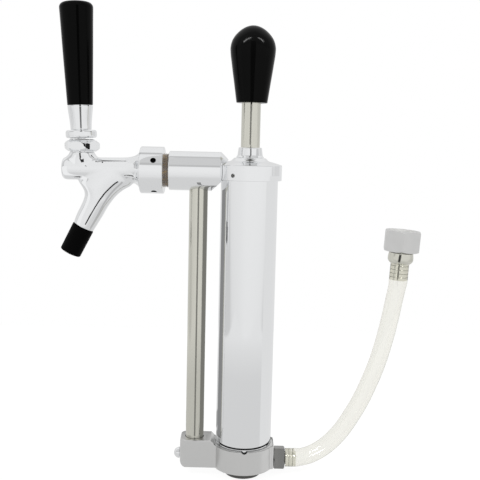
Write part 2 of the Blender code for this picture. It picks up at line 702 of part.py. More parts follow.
def make_base():
    """The casting: a cup for the barrel, a tall boss for the riser and a pad for the inlet."""
    left, right = -BOSS_REACH, PAD_REACH
    low, high = CASTING_BOTTOM, CUP_TOP
    slope_end = -CUP_RADIUS + CUP_WALL
    slope_start = slope_end - BOSS_SLOPE
    outline = arc((left + BOSS_FOOT_RADIUS, low + BOSS_FOOT_RADIUS), BOSS_FOOT_RADIUS, 270, 180)
    outline += arc((left + BOSS_TOP_RADIUS, BOSS_TOP - BOSS_TOP_RADIUS), BOSS_TOP_RADIUS, 180, 90)
    outline += [(slope_start, BOSS_TOP), (slope_end, high), (right, high), (right, low)]
    casting = extruded("base_casting", outline, CASTING_HALF_WIDTH, CASTING)
    cup = turned("cup", [
        (0, low), (CUP_RADIUS - CASTING_EDGE, low), (CUP_RADIUS, low + CASTING_EDGE),
        (CUP_RADIUS, high - CASTING_EDGE / 2), (CUP_RADIUS - CASTING_EDGE / 2, high), (0, high),
    ], CASTING, steps=BIG_STEPS)
    fuse(casting, cup)

    thread = PLUG_SHANK_RADIUS + GAP
    chamber_top = CASTING_BOTTOM + SPIGOT_NECK_HEIGHT + GAP / 2
    socket = rod("socket", SOCKET_RADIUS, SOCKET_FLOOR, BOSS_TOP + OVERRUN, steps=BIG_STEPS)
    chamber = rod("chamber", SPIGOT_NECK_RADIUS + GAP, CASTING_BOTTOM - OVERRUN, chamber_top,
                  steps=BIG_STEPS)
    riser_bore = riser_cutter(BOSS_TOP, -1, RISER_SEAT_DEPTH + GAP,
                              BOSS_TOP - PLUG_HEIGHT)
    plug_end = BOSS_REACH - PLUG_SHANK_LENGTH - GAP
    plug_drilling = turned("plug_drilling", [
        (0, -CHANNEL_OVERLAP), (CHANNEL_RADIUS, -CHANNEL_OVERLAP), (CHANNEL_RADIUS, plug_end),
        (thread, plug_end), (thread, BOSS_REACH + OVERRUN), (0, BOSS_REACH + OVERRUN),
    ], CASTING, (0.0, 0.0, PLUG_HEIGHT), TAP_TURN, SMALL_STEPS)
    inlet_end = PAD_REACH - INLET_STUB_LENGTH - GAP
    inlet_drilling = turned("inlet_drilling", [
        (0, -CHANNEL_OVERLAP), (CHANNEL_RADIUS, -CHANNEL_OVERLAP), (CHANNEL_RADIUS, inlet_end),
        (INLET_STUB_RADIUS + GAP, inlet_end), (INLET_STUB_RADIUS + GAP, PAD_REACH + OVERRUN),
        (0, PAD_REACH + OVERRUN),
    ], CASTING, (0.0, 0.0, INLET_HEIGHT), RIGHT_TURN, SMALL_STEPS)
    air_ports = [
        rod("air_port", AIR_PORT_RADIUS, CASTING_BOTTOM, SOCKET_FLOOR + OVERRUN,
            place=(0.0, side * AIR_PORT_OFFSET, 0.0), steps=TINY_STEPS)
        for side in (-1, 1)
    ]
    notch = rod("notch", NOTCH_RADIUS, SOCKET_RADIUS - OVERRUN, CUP_RADIUS + OVERRUN,
                place=(NOTCH_X, 0.0, CUP_TOP + NOTCH_RADIUS * NOTCH_SHARE / 2),
                turn=(math.pi / 2, 0.0, 0.0), steps=SMALL_STEPS)
    cut(casting, socket, chamber, riser_bore, plug_drilling, inlet_drilling, *air_ports, notch)


def seal_groove(mouth, way=-1):
    """The (low, high) heights of the O-ring groove that lies inside a socket's mouth."""
    middle = mouth + way * SEAL_GROOVE_INSET
    half = SEAL_CORD_RADIUS + GAP
    return middle - half, middle + half


def riser_cutter(mouth, way, seat, depth):
    """The stepped bore for one end of the riser: socket, O-ring groove, seat and well. Depths
    are measured from the socket's mouth, downwards (way -1) or upwards (way 1)."""
    groove = sorted(seal_groove(mouth, way), reverse=way < 0)
    groove_radius = RISER_SOCKET_RADIUS + 2 * SEAL_CORD_RADIUS + GAP
    well = RISER_RADIUS - RISER_WALL
    return turned("riser_bore", [
        (0, mouth - way * OVERRUN), (RISER_SOCKET_RADIUS, mouth - way * OVERRUN),
        (RISER_SOCKET_RADIUS, groove[0]), (groove_radius, groove[0]), (groove_radius, groove[1]),
        (RISER_SOCKET_RADIUS, groove[1]), (RISER_SOCKET_RADIUS, mouth + way * seat),
        (well, mouth + way * seat), (well, mouth + way * depth), (0, mouth + way * depth),
    ], CASTING, (RISER_X, 0.0, 0.0))


def make_plug():
    """The round-headed plug that closes the left end of the cross drilling."""
    head = [
        (PLUG_HEAD_RADIUS * math.cos(math.pi / 2 * k / 5),
         GAP + PLUG_HEAD_HEIGHT * math.sin(math.pi / 2 * k / 5))
        for k in range(5)
    ]
    turned("channel_plug", [
        (0, -PLUG_SHANK_LENGTH), (PLUG_SHANK_RADIUS, -PLUG_SHANK_LENGTH), (PLUG_SHANK_RADIUS, GAP),
        *head, (0, GAP + PLUG_HEAD_HEIGHT),
    ], CHROME, (-BOSS_REACH, 0.0, PLUG_HEIGHT), TAP_TURN, SMALL_STEPS)


def make_barrel():
    """The chromed pump tube and the flat seal under it."""
    ring("barrel_seal", BARREL_RADIUS - BARREL_SEAL_WIDTH, BARREL_RADIUS, BARREL_SEAL_BOTTOM,
         BARREL_SEAL_BOTTOM + BARREL_SEAL_THICKNESS, BLACK_RUBBER, steps=BIG_STEPS)
    barrel = ring("pump_barrel", BARREL_BORE_RADIUS, BARREL_RADIUS, BARREL_BOTTOM, BARREL_TOP,
                  CHROME, steps=BIG_STEPS)
    cut(barrel, arm_screw_hole())


def arm_screw_hole():
    return rod("screw_hole", ARM_SCREW_RADIUS + GAP, BARREL_BORE_RADIUS - OVERRUN,
               CAP_RADIUS + OVERRUN, place=(0.0, 0.0, TAP_AXIS), turn=TAP_TURN, steps=SMALL_STEPS)


def cap_outline(grow=0.0):
    """The cap's outer side from its foot up to its land, grown by a clearance."""
    land = GLAND_SPIGOT_RADIUS + GAP + CAP_LAND_WIDTH
    return [
        (CAP_RADIUS + grow, CAP_BOTTOM - grow), (CAP_RADIUS + grow, CAP_RIM_TOP - CAP_EDGE),
        (CAP_RADIUS - CAP_EDGE + grow, CAP_RIM_TOP + grow),
        (land + CAP_FILLET_WIDTH, CAP_TOP - CAP_FILLET_RISE + grow), (land, CAP_TOP + grow),
    ]


def make_cap():
    """The chromed cap over the barrel's top, and the grub screw in its side."""
    inner = GLAND_SPIGOT_RADIUS + GAP
    cap = turned("top_cap", [
        *cap_outline(), (inner, CAP_TOP), (inner, CAP_ROOF), (SOCKET_RADIUS, CAP_ROOF),
        (SOCKET_RADIUS, CAP_BOTTOM),
    ], CHROME, steps=BIG_STEPS)
    angle = math.radians(SET_SCREW_ANGLE)
    height = BARREL_TOP - SET_SCREW_DROP
    turn = (0.0, math.pi / 2, angle)
    hole = rod("set_screw_hole", SET_SCREW_RADIUS + GAP, BARREL_RADIUS - OVERRUN,
               CAP_RADIUS + OVERRUN, place=(0.0, 0.0, height), turn=turn, steps=SMALL_STEPS)
    cut(cap, hole, arm_screw_hole())
    low, high = SOCKET_RADIUS, CAP_RADIUS - SET_SCREW_DEPTH
    turned("cap_set_screw", [
        (0, low), (SET_SCREW_RADIUS, low), (SET_SCREW_RADIUS, high),
        (SET_SCREW_SOCKET_RADIUS, high), (SET_SCREW_SOCKET_RADIUS, high - SET_SCREW_SOCKET_DEPTH),
        (0, high - SET_SCREW_SOCKET_DEPTH),
    ], DARK_METAL, (0.0, 0.0, height), turn, TINY_STEPS)


def make_gland():
    """The cone-shaped nut round the rod, with the bushing and wiper inside it."""
    spigot_bottom = GLAND_BOTTOM - GLAND_SPIGOT_LENGTH
    pocket_top = GLAND_TOP - GLAND_LIP
    turned("gland_nut", [
        (GLAND_BORE_RADIUS, GLAND_TOP), (GLAND_BORE_RADIUS, pocket_top),
        (GLAND_POCKET_RADIUS, pocket_top), (GLAND_POCKET_RADIUS, spigot_bottom),
        (GLAND_SPIGOT_RADIUS, spigot_bottom), (GLAND_SPIGOT_RADIUS, GLAND_BOTTOM),
        (GLAND_FOOT_RADIUS, GLAND_BOTTOM), (GLAND_SHOULDER_RADIUS, GLAND_BOTTOM + GLAND_FOOT_HEIGHT),
        (GLAND_TOP_RADIUS + NUT_EDGE / 2, GLAND_TOP - NUT_EDGE), (GLAND_TOP_RADIUS, GLAND_TOP),
    ], CHROME)
    wiper_bottom = pocket_top - GAP - WIPER_THICKNESS
    ring("rod_wiper", GLAND_BORE_RADIUS, GLAND_POCKET_RADIUS - GAP, wiper_bottom,
         pocket_top - GAP, BLACK_RUBBER)
    ring("rod_bushing", GLAND_BORE_RADIUS, GLAND_POCKET_RADIUS - GAP, spigot_bottom,
         wiper_bottom - GAP, WHITE_NYLON)


def make_rod_and_knob():
    """The pump rod is a tube; the knob's socket takes its top end."""
    rod_top = KNOB_BOTTOM + KNOB_SOCKET_DEPTH
    ring("pump_rod", ROD_BORE_RADIUS, ROD_RADIUS, ROD_BOTTOM, rod_top, STAINLESS)
    crown = [
        (KNOB_RADIUS * math.cos(math.pi / 2 * k / KNOB_CROWN_STEPS),
         KNOB_EQUATOR + KNOB_CROWN_HEIGHT * math.sin(math.pi / 2 * k / KNOB_CROWN_STEPS))
        for k in range(KNOB_CROWN_STEPS)
    ]
    waist = KNOB_FOOT_RADIUS + (KNOB_RADIUS - KNOB_FOOT_RADIUS) * KNOB_WAIST_SHARE
    turned("pump_knob", [
        (0, rod_top + GAP), (ROD_RADIUS + GAP, rod_top + GAP), (ROD_RADIUS + GAP, KNOB_BOTTOM),
        (KNOB_FOOT_RADIUS - KNOB_EDGE, KNOB_BOTTOM), (KNOB_FOOT_RADIUS, KNOB_BOTTOM + KNOB_EDGE),
        (waist, KNOB_BOTTOM + KNOB_TAPER_HEIGHT * KNOB_WAIST_HEIGHT_SHARE), *crown,
        (0, KNOB_EQUATOR + KNOB_CROWN_HEIGHT),
    ], BLACK_PLASTIC, steps=STEPS)


def make_piston():
    """Piston plate on the rod's end, with the leather-style cup, washer and nut under it."""
    stud_bottom = PISTON_NUT_BOTTOM - PISTON_STUD_TAIL
    turned("piston_body", [
        (0, stud_bottom), (PISTON_STUD_RADIUS, stud_bottom), (PISTON_STUD_RADIUS, PISTON_BOTTOM),
        (PISTON_RADIUS, PISTON_BOTTOM), (PISTON_RADIUS, PISTON_TOP),
        (ROD_BORE_RADIUS - GAP, PISTON_TOP), (ROD_BORE_RADIUS - GAP, PISTON_TOP + PISTON_SPIGOT_LENGTH),
        (0, PISTON_TOP + PISTON_SPIGOT_LENGTH),
    ], BRASS)
    hole = PISTON_STUD_RADIUS + GAP
    top = CUP_SEAL_BOTTOM + CUP_SEAL_THICKNESS
    lip_bottom = CUP_SEAL_BOTTOM - CUP_SEAL_LIP
    turned("piston_cup", [
        (hole, CUP_SEAL_BOTTOM), (PISTON_RADIUS - CUP_SEAL_LIP_WALL, CUP_SEAL_BOTTOM),
        (PISTON_RADIUS - CUP_SEAL_LIP_WALL, lip_bottom), (PISTON_RADIUS, lip_bottom),
        (PISTON_RADIUS, top), (hole, top),
    ], BLACK_RUBBER)
    ring("piston_washer", hole, PISTON_RADIUS - CUP_SEAL_LIP_WALL - PISTON_WASHER_INSET,
         PISTON_WASHER_BOTTOM, PISTON_WASHER_BOTTOM + PISTON_WASHER_THICKNESS, STAINLESS)
    nut = hexagon("piston_nut", PISTON_NUT_WIDTH, PISTON_NUT_BOTTOM,
                  PISTON_NUT_BOTTOM + PISTON_NUT_HEIGHT, HEX_CHAMFER, BRASS, (0, 0, 0), (0, 0, 0))
    cut(nut, rod("nut_bore", hole, PISTON_NUT_BOTTOM - OVERRUN, PISTON_WASHER_BOTTOM + OVERRUN,
                 steps=SMALL_STEPS))


def make_riser():
    """The stainless riser tube, sealed by an O-ring at each end."""
    ring("riser_tube", RISER_RADIUS - RISER_WALL, RISER_RADIUS, RISER_BOTTOM, RISER_TOP,
         STAINLESS, (RISER_X, 0.0, 0.0))
    centre = RISER_RADIUS + GAP + SEAL_CORD_RADIUS
    for name, mouth, way in (("riser_lower_seal", BOSS_TOP, -1), ("riser_upper_seal", ARM_BOTTOM, 1)):
        low, high = seal_groove(mouth, way)
        seal_cord(name, centre, (low + high) / 2, (RISER_X, 0.0, 0.0))


def make_arm():
    """The delivery arm: a turned bar on the tap axis, fitted round the cap."""
    cone_end = ARM_CONE_START - ARM_CONE
    left = -ARM_LEFT
    arm = turned("delivery_arm", [
        (0, cone_end), (ARM_RADIUS - ARM_CONE, cone_end), (ARM_RADIUS, ARM_CONE_START),
        (ARM_RADIUS, left - ARM_EDGE), (ARM_RADIUS - ARM_EDGE, left), (0, left),
    ], CHROME, (0.0, 0.0, TAP_AXIS), TAP_TURN, BIG_STEPS)
    relief_left = -SOCKET_RADIUS - ARM_RELIEF_RUN
    relief = extruded("relief", [
        (relief_left - ARM_RELIEF_RUN, ARM_BOTTOM - ARM_RELIEF_RISE),
        (-SOCKET_RADIUS + ARM_RELIEF_RUN, ARM_BOTTOM + ARM_RELIEF_RISE * 2),
        (-SOCKET_RADIUS + ARM_RELIEF_RUN, ARM_BOTTOM - ARM_RELIEF_RISE),
    ], ARM_RADIUS + OVERRUN, CHROME)
    inner = CAP_TOP - ARM_RADIUS
    cap_room = turned("cap_room", [
        (0, CAP_BOTTOM - GAP), *cap_outline(GAP), (0, CAP_TOP + GAP),
    ], CHROME, steps=BIG_STEPS)
    barrel_room = rod("barrel_room", SOCKET_RADIUS, ARM_BOTTOM - OVERRUN, inner, steps=BIG_STEPS)
    screw_end = ARM_SCREW_SEAT + ARM_SCREW_LENGTH + GAP
    screw_hole = rod("screw_hole", ARM_SCREW_RADIUS + GAP, cone_end - OVERRUN, screw_end,
                     place=(0.0, 0.0, TAP_AXIS), turn=TAP_TURN, steps=SMALL_STEPS)
    main_bore = turned("main_bore", [
        (0, RISER_OFFSET), (ARM_BORE_RADIUS, RISER_OFFSET),
        (ARM_BORE_RADIUS, left - ARM_SOCKET_DEPTH), (ARM_SOCKET_RADIUS, left - ARM_SOCKET_DEPTH),
        (ARM_SOCKET_RADIUS, left + OVERRUN), (0, left + OVERRUN),
    ], CHROME, (0.0, 0.0, TAP_AXIS), TAP_TURN)
    riser_bore = riser_cutter(ARM_BOTTOM, 1, RISER_TOP + GAP - ARM_BOTTOM,
                              TAP_AXIS + ARM_BORE_RADIUS / 3 - ARM_BOTTOM)
    cut(arm, relief, cap_room, barrel_room, main_bore, riser_bore, screw_hole)


def make_arm_screw():
    """The screw that pulls barrel, cap and arm together from inside the barrel."""
    low = ARM_SCREW_SEAT - ARM_SCREW_HEAD_HEIGHT
    screw = turned("arm_screw", [
        (0, low), (ARM_SCREW_HEAD_RADIUS, low), (ARM_SCREW_HEAD_RADIUS, ARM_SCREW_SEAT),
        (ARM_SCREW_RADIUS, ARM_SCREW_SEAT), (ARM_SCREW_RADIUS, ARM_SCREW_SEAT + ARM_SCREW_LENGTH),
        (0, ARM_SCREW_SEAT + ARM_SCREW_LENGTH),
    ], STAINLESS, (0.0, 0.0, TAP_AXIS), TAP_TURN, SMALL_STEPS)
    slot = extruded("slot", [
        (-low - ARM_SCREW_SLOT, TAP_AXIS - ARM_SCREW_SLOT / 2),
        (-low - ARM_SCREW_SLOT, TAP_AXIS + ARM_SCREW_SLOT / 2),
        (-low + OVERRUN, TAP_AXIS + ARM_SCREW_SLOT / 2),
        (-low + OVERRUN, TAP_AXIS - ARM_SCREW_SLOT / 2),
    ], ARM_SCREW_HEAD_RADIUS + OVERRUN, STAINLESS)
    cut(screw, slot)


def make_shank():
    """The threaded brass shank, the snap ring that keeps the nut on it, and the tap washer."""
    right = -ARM_LEFT - ARM_SOCKET_DEPTH + GAP
    shoulder = -NUT_RIGHT - GAP
    end = -SHANK_END
    groove_left = end - SNAP_RING_SETBACK
    groove_right = groove_left - SNAP_RING_THICKNESS - 2 * GAP
    outline = [(SHANK_BORE_RADIUS, right), (THREAD_RADIUS, right)]
    start = -ARM_LEFT - THREAD_PITCH / 4
    turns = math.floor((shoulder - start) / THREAD_PITCH)
    for k in range(turns):
        foot = start + k * THREAD_PITCH
        outline += [
            (THREAD_RADIUS, foot), (THREAD_RADIUS - THREAD_DEPTH, foot + THREAD_PITCH / 2),
            (THREAD_RADIUS, foot + THREAD_PITCH * (1 - THREAD_CREST_SHARE)),
        ]
    outline += [
        (THREAD_RADIUS, shoulder), (SHANK_NECK_RADIUS, shoulder), (SHANK_NECK_RADIUS, groove_right),
        (SHANK_NECK_RADIUS - SNAP_RING_GROOVE_DEPTH, groove_right),
        (SHANK_NECK_RADIUS - SNAP_RING_GROOVE_DEPTH, groove_left),
        (SHANK_NECK_RADIUS, groove_left), (SHANK_NECK_RADIUS, end), (SHANK_BORE_RADIUS, end),
    ]
    turned("tap_shank", outline, BRASS, (0.0, 0.0, TAP_AXIS), TAP_TURN, STEPS)

    snap = ring("snap_ring", SHANK_NECK_RADIUS - SNAP_RING_GROOVE_DEPTH + GAP, SNAP_RING_RADIUS,
                groove_right + GAP, groove_right + GAP + SNAP_RING_THICKNESS, SPRING_STEEL,
                (0.0, 0.0, TAP_AXIS), TAP_TURN)
    mouth = extruded("mouth", [
        (-groove_left - OVERRUN, TAP_AXIS + SHANK_BORE_RADIUS),
        (-groove_left - OVERRUN, TAP_AXIS + SNAP_RING_RADIUS + OVERRUN),
        (-groove_right + OVERRUN, TAP_AXIS + SNAP_RING_RADIUS + OVERRUN),
        (-groove_right + OVERRUN, TAP_AXIS + SHANK_BORE_RADIUS),
    ], SNAP_RING_GAP / 2, SPRING_STEEL)
    cut(snap, mouth)
    ring("tap_washer", WASHER_BORE_RADIUS, WASHER_RADIUS, -WASHER_LEFT - WASHER_THICKNESS,
         -WASHER_LEFT, BLACK_RUBBER, (0.0, 0.0, TAP_AXIS), TAP_TURN)


def make_coupling_nut():
    """The round nut with four spanner holes that pulls the tap onto the shank."""
    right, left = -NUT_RIGHT, -NUT_LEFT
    lip = -SHANK_END - SNAP_RING_SETBACK - SNAP_RING_THICKNESS - 2 * GAP
    nut = turned("coupling_nut", [
        (SHANK_NECK_RADIUS + GAP, right), (NUT_RADIUS - NUT_EDGE, right),
        (NUT_RADIUS, right + NUT_EDGE), (NUT_RADIUS, left - NUT_EDGE),
        (NUT_RADIUS - NUT_EDGE, left), (NUT_BORE_RADIUS, left), (NUT_BORE_RADIUS, lip),
        (SHANK_NECK_RADIUS + GAP, lip),
    ], CHROME, (0.0, 0.0, TAP_AXIS), TAP_TURN, BIG_STEPS)
    holes = []
    for k in range(SPANNER_HOLES):
        lift = math.radians(SPANNER_HOLE_ANGLE + 360 * k / SPANNER_HOLES)
        holes.append(rod(
            "spanner_hole", SPANNER_HOLE_RADIUS, NUT_RADIUS - SPANNER_HOLE_DEPTH,
            NUT_RADIUS + OVERRUN, place=(NUT_RIGHT - SPANNER_HOLE_SETBACK, 0.0, TAP_AXIS),
            turn=(math.pi / 2 - lift, 0.0, 0.0), steps=SMALL_STEPS,
        ))
    cut(nut, *holes)


def make_tap_body():
    """The tap casting: nose, waist and flare on the tap axis, the tower and the spout."""
    face, rear = -TAP_FACE, -TAP_REAR
    nose = -NOSE_X
    flare = [
        (TAP_WAIST_RADIUS + (TAP_FLARE_RADIUS - TAP_WAIST_RADIUS) * out, face + TAP_WAIST_SETBACK * on)
        for out, on in TAP_FLARE_SHARES
    ]
    edge = [
        (TAP_FRONT_RADIUS - TAP_NOSE_EDGE * (1 - out), nose - TAP_NOSE_DOME * dome - TAP_NOSE_EDGE * on)
        for out, dome, on in TAP_NOSE_SHARES
    ]
    tip_out, tip_on = TAP_NOSE_TIP_SHARES
    body = turned("tap_body", [
        (0, rear), (TAP_THREAD_RADIUS, rear), (TAP_THREAD_RADIUS, face), (TAP_FLARE_RADIUS, face),
        *flare, (TAP_FRONT_RADIUS, nose - TAP_NOSE_REACH), *edge,
        (TAP_FRONT_RADIUS * tip_out, nose - TAP_NOSE_DOME * tip_on), (0, nose),
    ], CHROME, (0.0, 0.0, TAP_AXIS), TAP_TURN, STEPS)

    across = Vector((math.cos(SPOUT_TILT), 0.0, -math.sin(SPOUT_TILT)))
    sideways = Vector((0.0, 1.0, 0.0))
    sections = []
    for height, front, back, side in SPOUT_SHARES:
        centre = SLEEVE_TOP - SPOUT_DOWN * SPOUT_DROP * height
        centre += across * SPOUT_RADIUS * (back - front) / 2
        sections.append([
            centre + across * SPOUT_RADIUS * (front + back) / 2 * math.cos(2 * math.pi * k / STEPS)
            + sideways * SPOUT_RADIUS * side * math.sin(2 * math.pi * k / STEPS)
            for k in range(STEPS)
        ])
    spout = lofted("spout", sections, CHROME)
    tip = rod("tip", SPOUT_TIP_RADIUS, -SPOUT_DROP / 4, SLEEVE_LENGTH - SPOUT_TIP_SETBACK,
              place=SLEEVE_TOP, turn=SPOUT_TURN)

    tower_rings = []
    for height, length, width in TOWER_SHARES:
        tower_rings.append([
            Vector((TOWER_X + TOWER_RADIUS * length * math.cos(2 * math.pi * k / STEPS),
                    TOWER_RADIUS * width * math.sin(2 * math.pi * k / STEPS),
                    TAP_AXIS + TOWER_HEIGHT * height)) for k in range(STEPS)
        ])
    tower = lofted("tower", tower_rings, CHROME)
    thread = rod("tower_thread", TOWER_THREAD_RADIUS, TAP_AXIS, TOWER_TOP + TOWER_THREAD_HEIGHT,
                 place=(TOWER_X, 0.0, 0.0))
    fuse(body, spout, tip, tower, thread)

    tower_mouth = TOWER_TOP + TOWER_THREAD_HEIGHT + OVERRUN
    tower_bore = turned("tower_bore", [
        (0, TAP_AXIS + GUIDE_BORE_RADIUS / 4), (TOWER_LEDGE_RADIUS, TAP_AXIS + GUIDE_BORE_RADIUS / 4),
        (TOWER_LEDGE_RADIUS, TAP_AXIS + TOWER_LEDGE_HEIGHT),
        (TOWER_BORE_RADIUS, TAP_AXIS + TOWER_LEDGE_HEIGHT), (TOWER_BORE_RADIUS, tower_mouth),
        (0, tower_mouth),
    ], CHROME, (TOWER_X, 0.0, 0.0))
    guide_front, guide_rear = -TOWER_X + GUIDE_FRONT, -TOWER_X - GUIDE_REAR
    main_bore = turned("main_bore", [
        (0, guide_front), (GUIDE_BORE_RADIUS, guide_front), (GUIDE_BORE_RADIUS, guide_rear),
        (FLOW_BORE_RADIUS, guide_rear), (FLOW_BORE_RADIUS, -SEAT_FACE),
        (SEAT_CHAMBER_RADIUS, -SEAT_FACE), (SEAT_CHAMBER_RADIUS, rear - OVERRUN),
        (0, rear - OVERRUN),
    ], CHROME, (0.0, 0.0, TAP_AXIS), TAP_TURN)
    spout_bore = rod("spout_bore", SPOUT_BORE_RADIUS, -SPOUT_DROP, SLEEVE_LENGTH + OVERRUN,
                     place=SLEEVE_TOP, turn=SPOUT_TURN, steps=SMALL_STEPS)
    cut(body, main_bore, tower_bore, spout_bore)


def make_sleeve():
    """The black sleeve pushed over the spout."""
    turned("spout_sleeve", [
        (SLEEVE_BORE_RADIUS, GAP), (SLEEVE_TOP_RADIUS, GAP), (SLEEVE_END_RADIUS, SLEEVE_LENGTH),
        (SLEEVE_BORE_RADIUS, SLEEVE_LENGTH),
    ], BLACK_RUBBER, SLEEVE_TOP, SPOUT_TURN)


def make_valve():
    """The valve shaft, pushed back by the lever, with the washer that closes the rear seat."""
    front = -TOWER_X + GUIDE_FRONT - SHAFT_FRONT_SETBACK
    guide_end = -TOWER_X - GUIDE_REAR + SHAFT_TAPER
    seat = -SEAT_FACE
    washer_front = seat - GAP
    washer_rear = washer_front - SEAT_WASHER_THICKNESS
    nut_front = washer_rear - GAP
    nut_rear = nut_front - SHAFT_NUT_HEIGHT
    shaft = turned("valve_shaft", [
        (0, front), (SHAFT_RADIUS, front), (SHAFT_RADIUS, guide_end),
        (SHAFT_STEM_RADIUS, guide_end - SHAFT_TAPER),
        (SHAFT_STEM_RADIUS, seat + SHAFT_SHOULDER_LENGTH),
        (SHAFT_SHOULDER_RADIUS, seat + SHAFT_SHOULDER_LENGTH), (SHAFT_SHOULDER_RADIUS, seat),
        (SHAFT_STEM_RADIUS, seat), (SHAFT_STEM_RADIUS, nut_rear), (0, nut_rear),
    ], BRASS, (0.0, 0.0, TAP_AXIS), TAP_TURN, SMALL_STEPS)
    half = LEVER_TIP_RADIUS + SHAFT_SLOT_CLEARANCE
    slot = extruded("slot", [
        (TIP_X - half, TAP_AXIS - SHAFT_SLOT_FLOOR), (TIP_X + half, TAP_AXIS - SHAFT_SLOT_FLOOR),
        (TIP_X + half, TAP_AXIS + SHAFT_RADIUS + OVERRUN),
        (TIP_X - half - SHAFT_SLOT_FLARE, TAP_AXIS + SHAFT_RADIUS + OVERRUN),
        (TIP_X - half, TAP_AXIS),
    ], half, BRASS)
    cut(shaft, slot)
    hole = SHAFT_STEM_RADIUS + GAP
    ring("seat_washer", hole, SEAT_WASHER_RADIUS, washer_rear, washer_front, BLACK_RUBBER,
         (0.0, 0.0, TAP_AXIS), TAP_TURN, SMALL_STEPS)
    nut = hexagon("shaft_nut", SHAFT_NUT_WIDTH, nut_rear, nut_front, HEX_CHAMFER / 2, BRASS,
                  (0.0, 0.0, TAP_AXIS), TAP_TURN)
    cut(nut, rod("nut_bore", hole, nut_rear - OVERRUN, nut_front + OVERRUN,
                 place=(0.0, 0.0, TAP_AXIS), turn=TAP_TURN, steps=TINY_STEPS))


def make_ball_joint():
    """The lower washer and the friction ring round the lever's ball, and the bonnet above."""
    foot = TAP_AXIS + TOWER_LEDGE_HEIGHT + GAP
    pivot = PIVOT.z
    outer = TOWER_BORE_RADIUS - GAP
    ring("ball_washer", BALL_WASHER_BORE_RADIUS, outer, foot, foot + BALL_WASHER_THICKNESS,
         BLACK_RUBBER, (TOWER_X, 0.0, 0.0), steps=SMALL_STEPS)
    ring_top = TOWER_TOP + TOWER_THREAD_HEIGHT
    turned("friction_ring", [
        (BALL_RADIUS + GAP, pivot + FRICTION_RING_FOOT),
        (FRICTION_RING_BORE_RADIUS, pivot + FRICTION_RING_THROAT),
        (FRICTION_RING_MOUTH_RADIUS, ring_top), (outer, ring_top),
        (outer, pivot + FRICTION_RING_FOOT),
    ], WHITE_NYLON, (TOWER_X, 0.0, 0.0), steps=SMALL_STEPS)
    low = TOWER_TOP + GAP
    high = low + BONNET_HEIGHT
    shoulder = ring_top + GAP
    bonnet = hexagon("bonnet", BONNET_WIDTH, low, high, HEX_CHAMFER, CHROME, (TOWER_X, 0.0, 0.0),
                     (0.0, 0.0, 0.0), BONNET_ANGLE, BONNET_FACE_RADIUS, BONNET_CHAMFER_SLOPE)
    throat = (BONNET_MOUTH_RADIUS - BONNET_THROAT_RADIUS) / (high - shoulder)
    bore = turned("bonnet_bore", [
        (0, low - OVERRUN), (TOWER_THREAD_RADIUS + GAP, low - OVERRUN),
        (TOWER_THREAD_RADIUS + GAP, shoulder), (BONNET_THROAT_RADIUS, shoulder),
        (BONNET_MOUTH_RADIUS + throat * OVERRUN, high + OVERRUN), (0, high + OVERRUN),
    ], CHROME, (TOWER_X, 0.0, 0.0))
    cut(bonnet, bore)


def ball_height(radius):
    return math.sqrt(BALL_RADIUS ** 2 - radius ** 2)


def make_lever():
    """The lever is one turned piece: tip, pin, ball, neck, dished collar and handle stud."""
    collar_top = COLLAR_RISE + COLLAR_HEIGHT
    tip_depth = PIVOT_RISE / math.cos(LEAN)
    tip = [
        (LEVER_TIP_RADIUS * math.sin(math.pi * k / 6), -tip_depth - LEVER_TIP_RADIUS * math.cos(math.pi * k / 6))
        for k in range(6)
    ]
    pin_end = ball_height(LEVER_PIN_RADIUS)
    neck_start = ball_height(LEVER_NECK_RADIUS)
    low_angle = math.asin(-pin_end / BALL_RADIUS)
    high_angle = math.asin(neck_start / BALL_RADIUS)
    ball = [
        (BALL_RADIUS * math.cos(low_angle + (high_angle - low_angle) * k / 10),
         BALL_RADIUS * math.sin(low_angle + (high_angle - low_angle) * k / 10))
        for k in range(11)
    ]
    turned("tap_lever", [
        *tip[:5], (LEVER_PIN_RADIUS, -tip_depth + LEVER_TIP_RADIUS), *ball,
        (LEVER_NECK_RADIUS, COLLAR_RISE + COLLAR_DISH_DEPTH),
        (COLLAR_DISH_RADIUS, COLLAR_RISE + COLLAR_DISH_DEPTH), (COLLAR_DISH_RADIUS, COLLAR_RISE),
        (COLLAR_RADIUS - COLLAR_EDGE, COLLAR_RISE),
        (COLLAR_RADIUS - COLLAR_EDGE * COLLAR_ROUND_SHARE, COLLAR_RISE + COLLAR_EDGE * COLLAR_ROUND_SHARE),
        (COLLAR_RADIUS, COLLAR_RISE + COLLAR_EDGE), (COLLAR_RADIUS, collar_top - COLLAR_EDGE),
        (COLLAR_RADIUS - COLLAR_EDGE * COLLAR_ROUND_SHARE, collar_top - COLLAR_EDGE * COLLAR_ROUND_SHARE),
        (COLLAR_RADIUS - COLLAR_EDGE, collar_top), (STUD_RADIUS, collar_top),
        (STUD_RADIUS, collar_top + STUD_LENGTH), (0, collar_top + STUD_LENGTH),
    ], CHROME, PIVOT, LEVER_TURN)


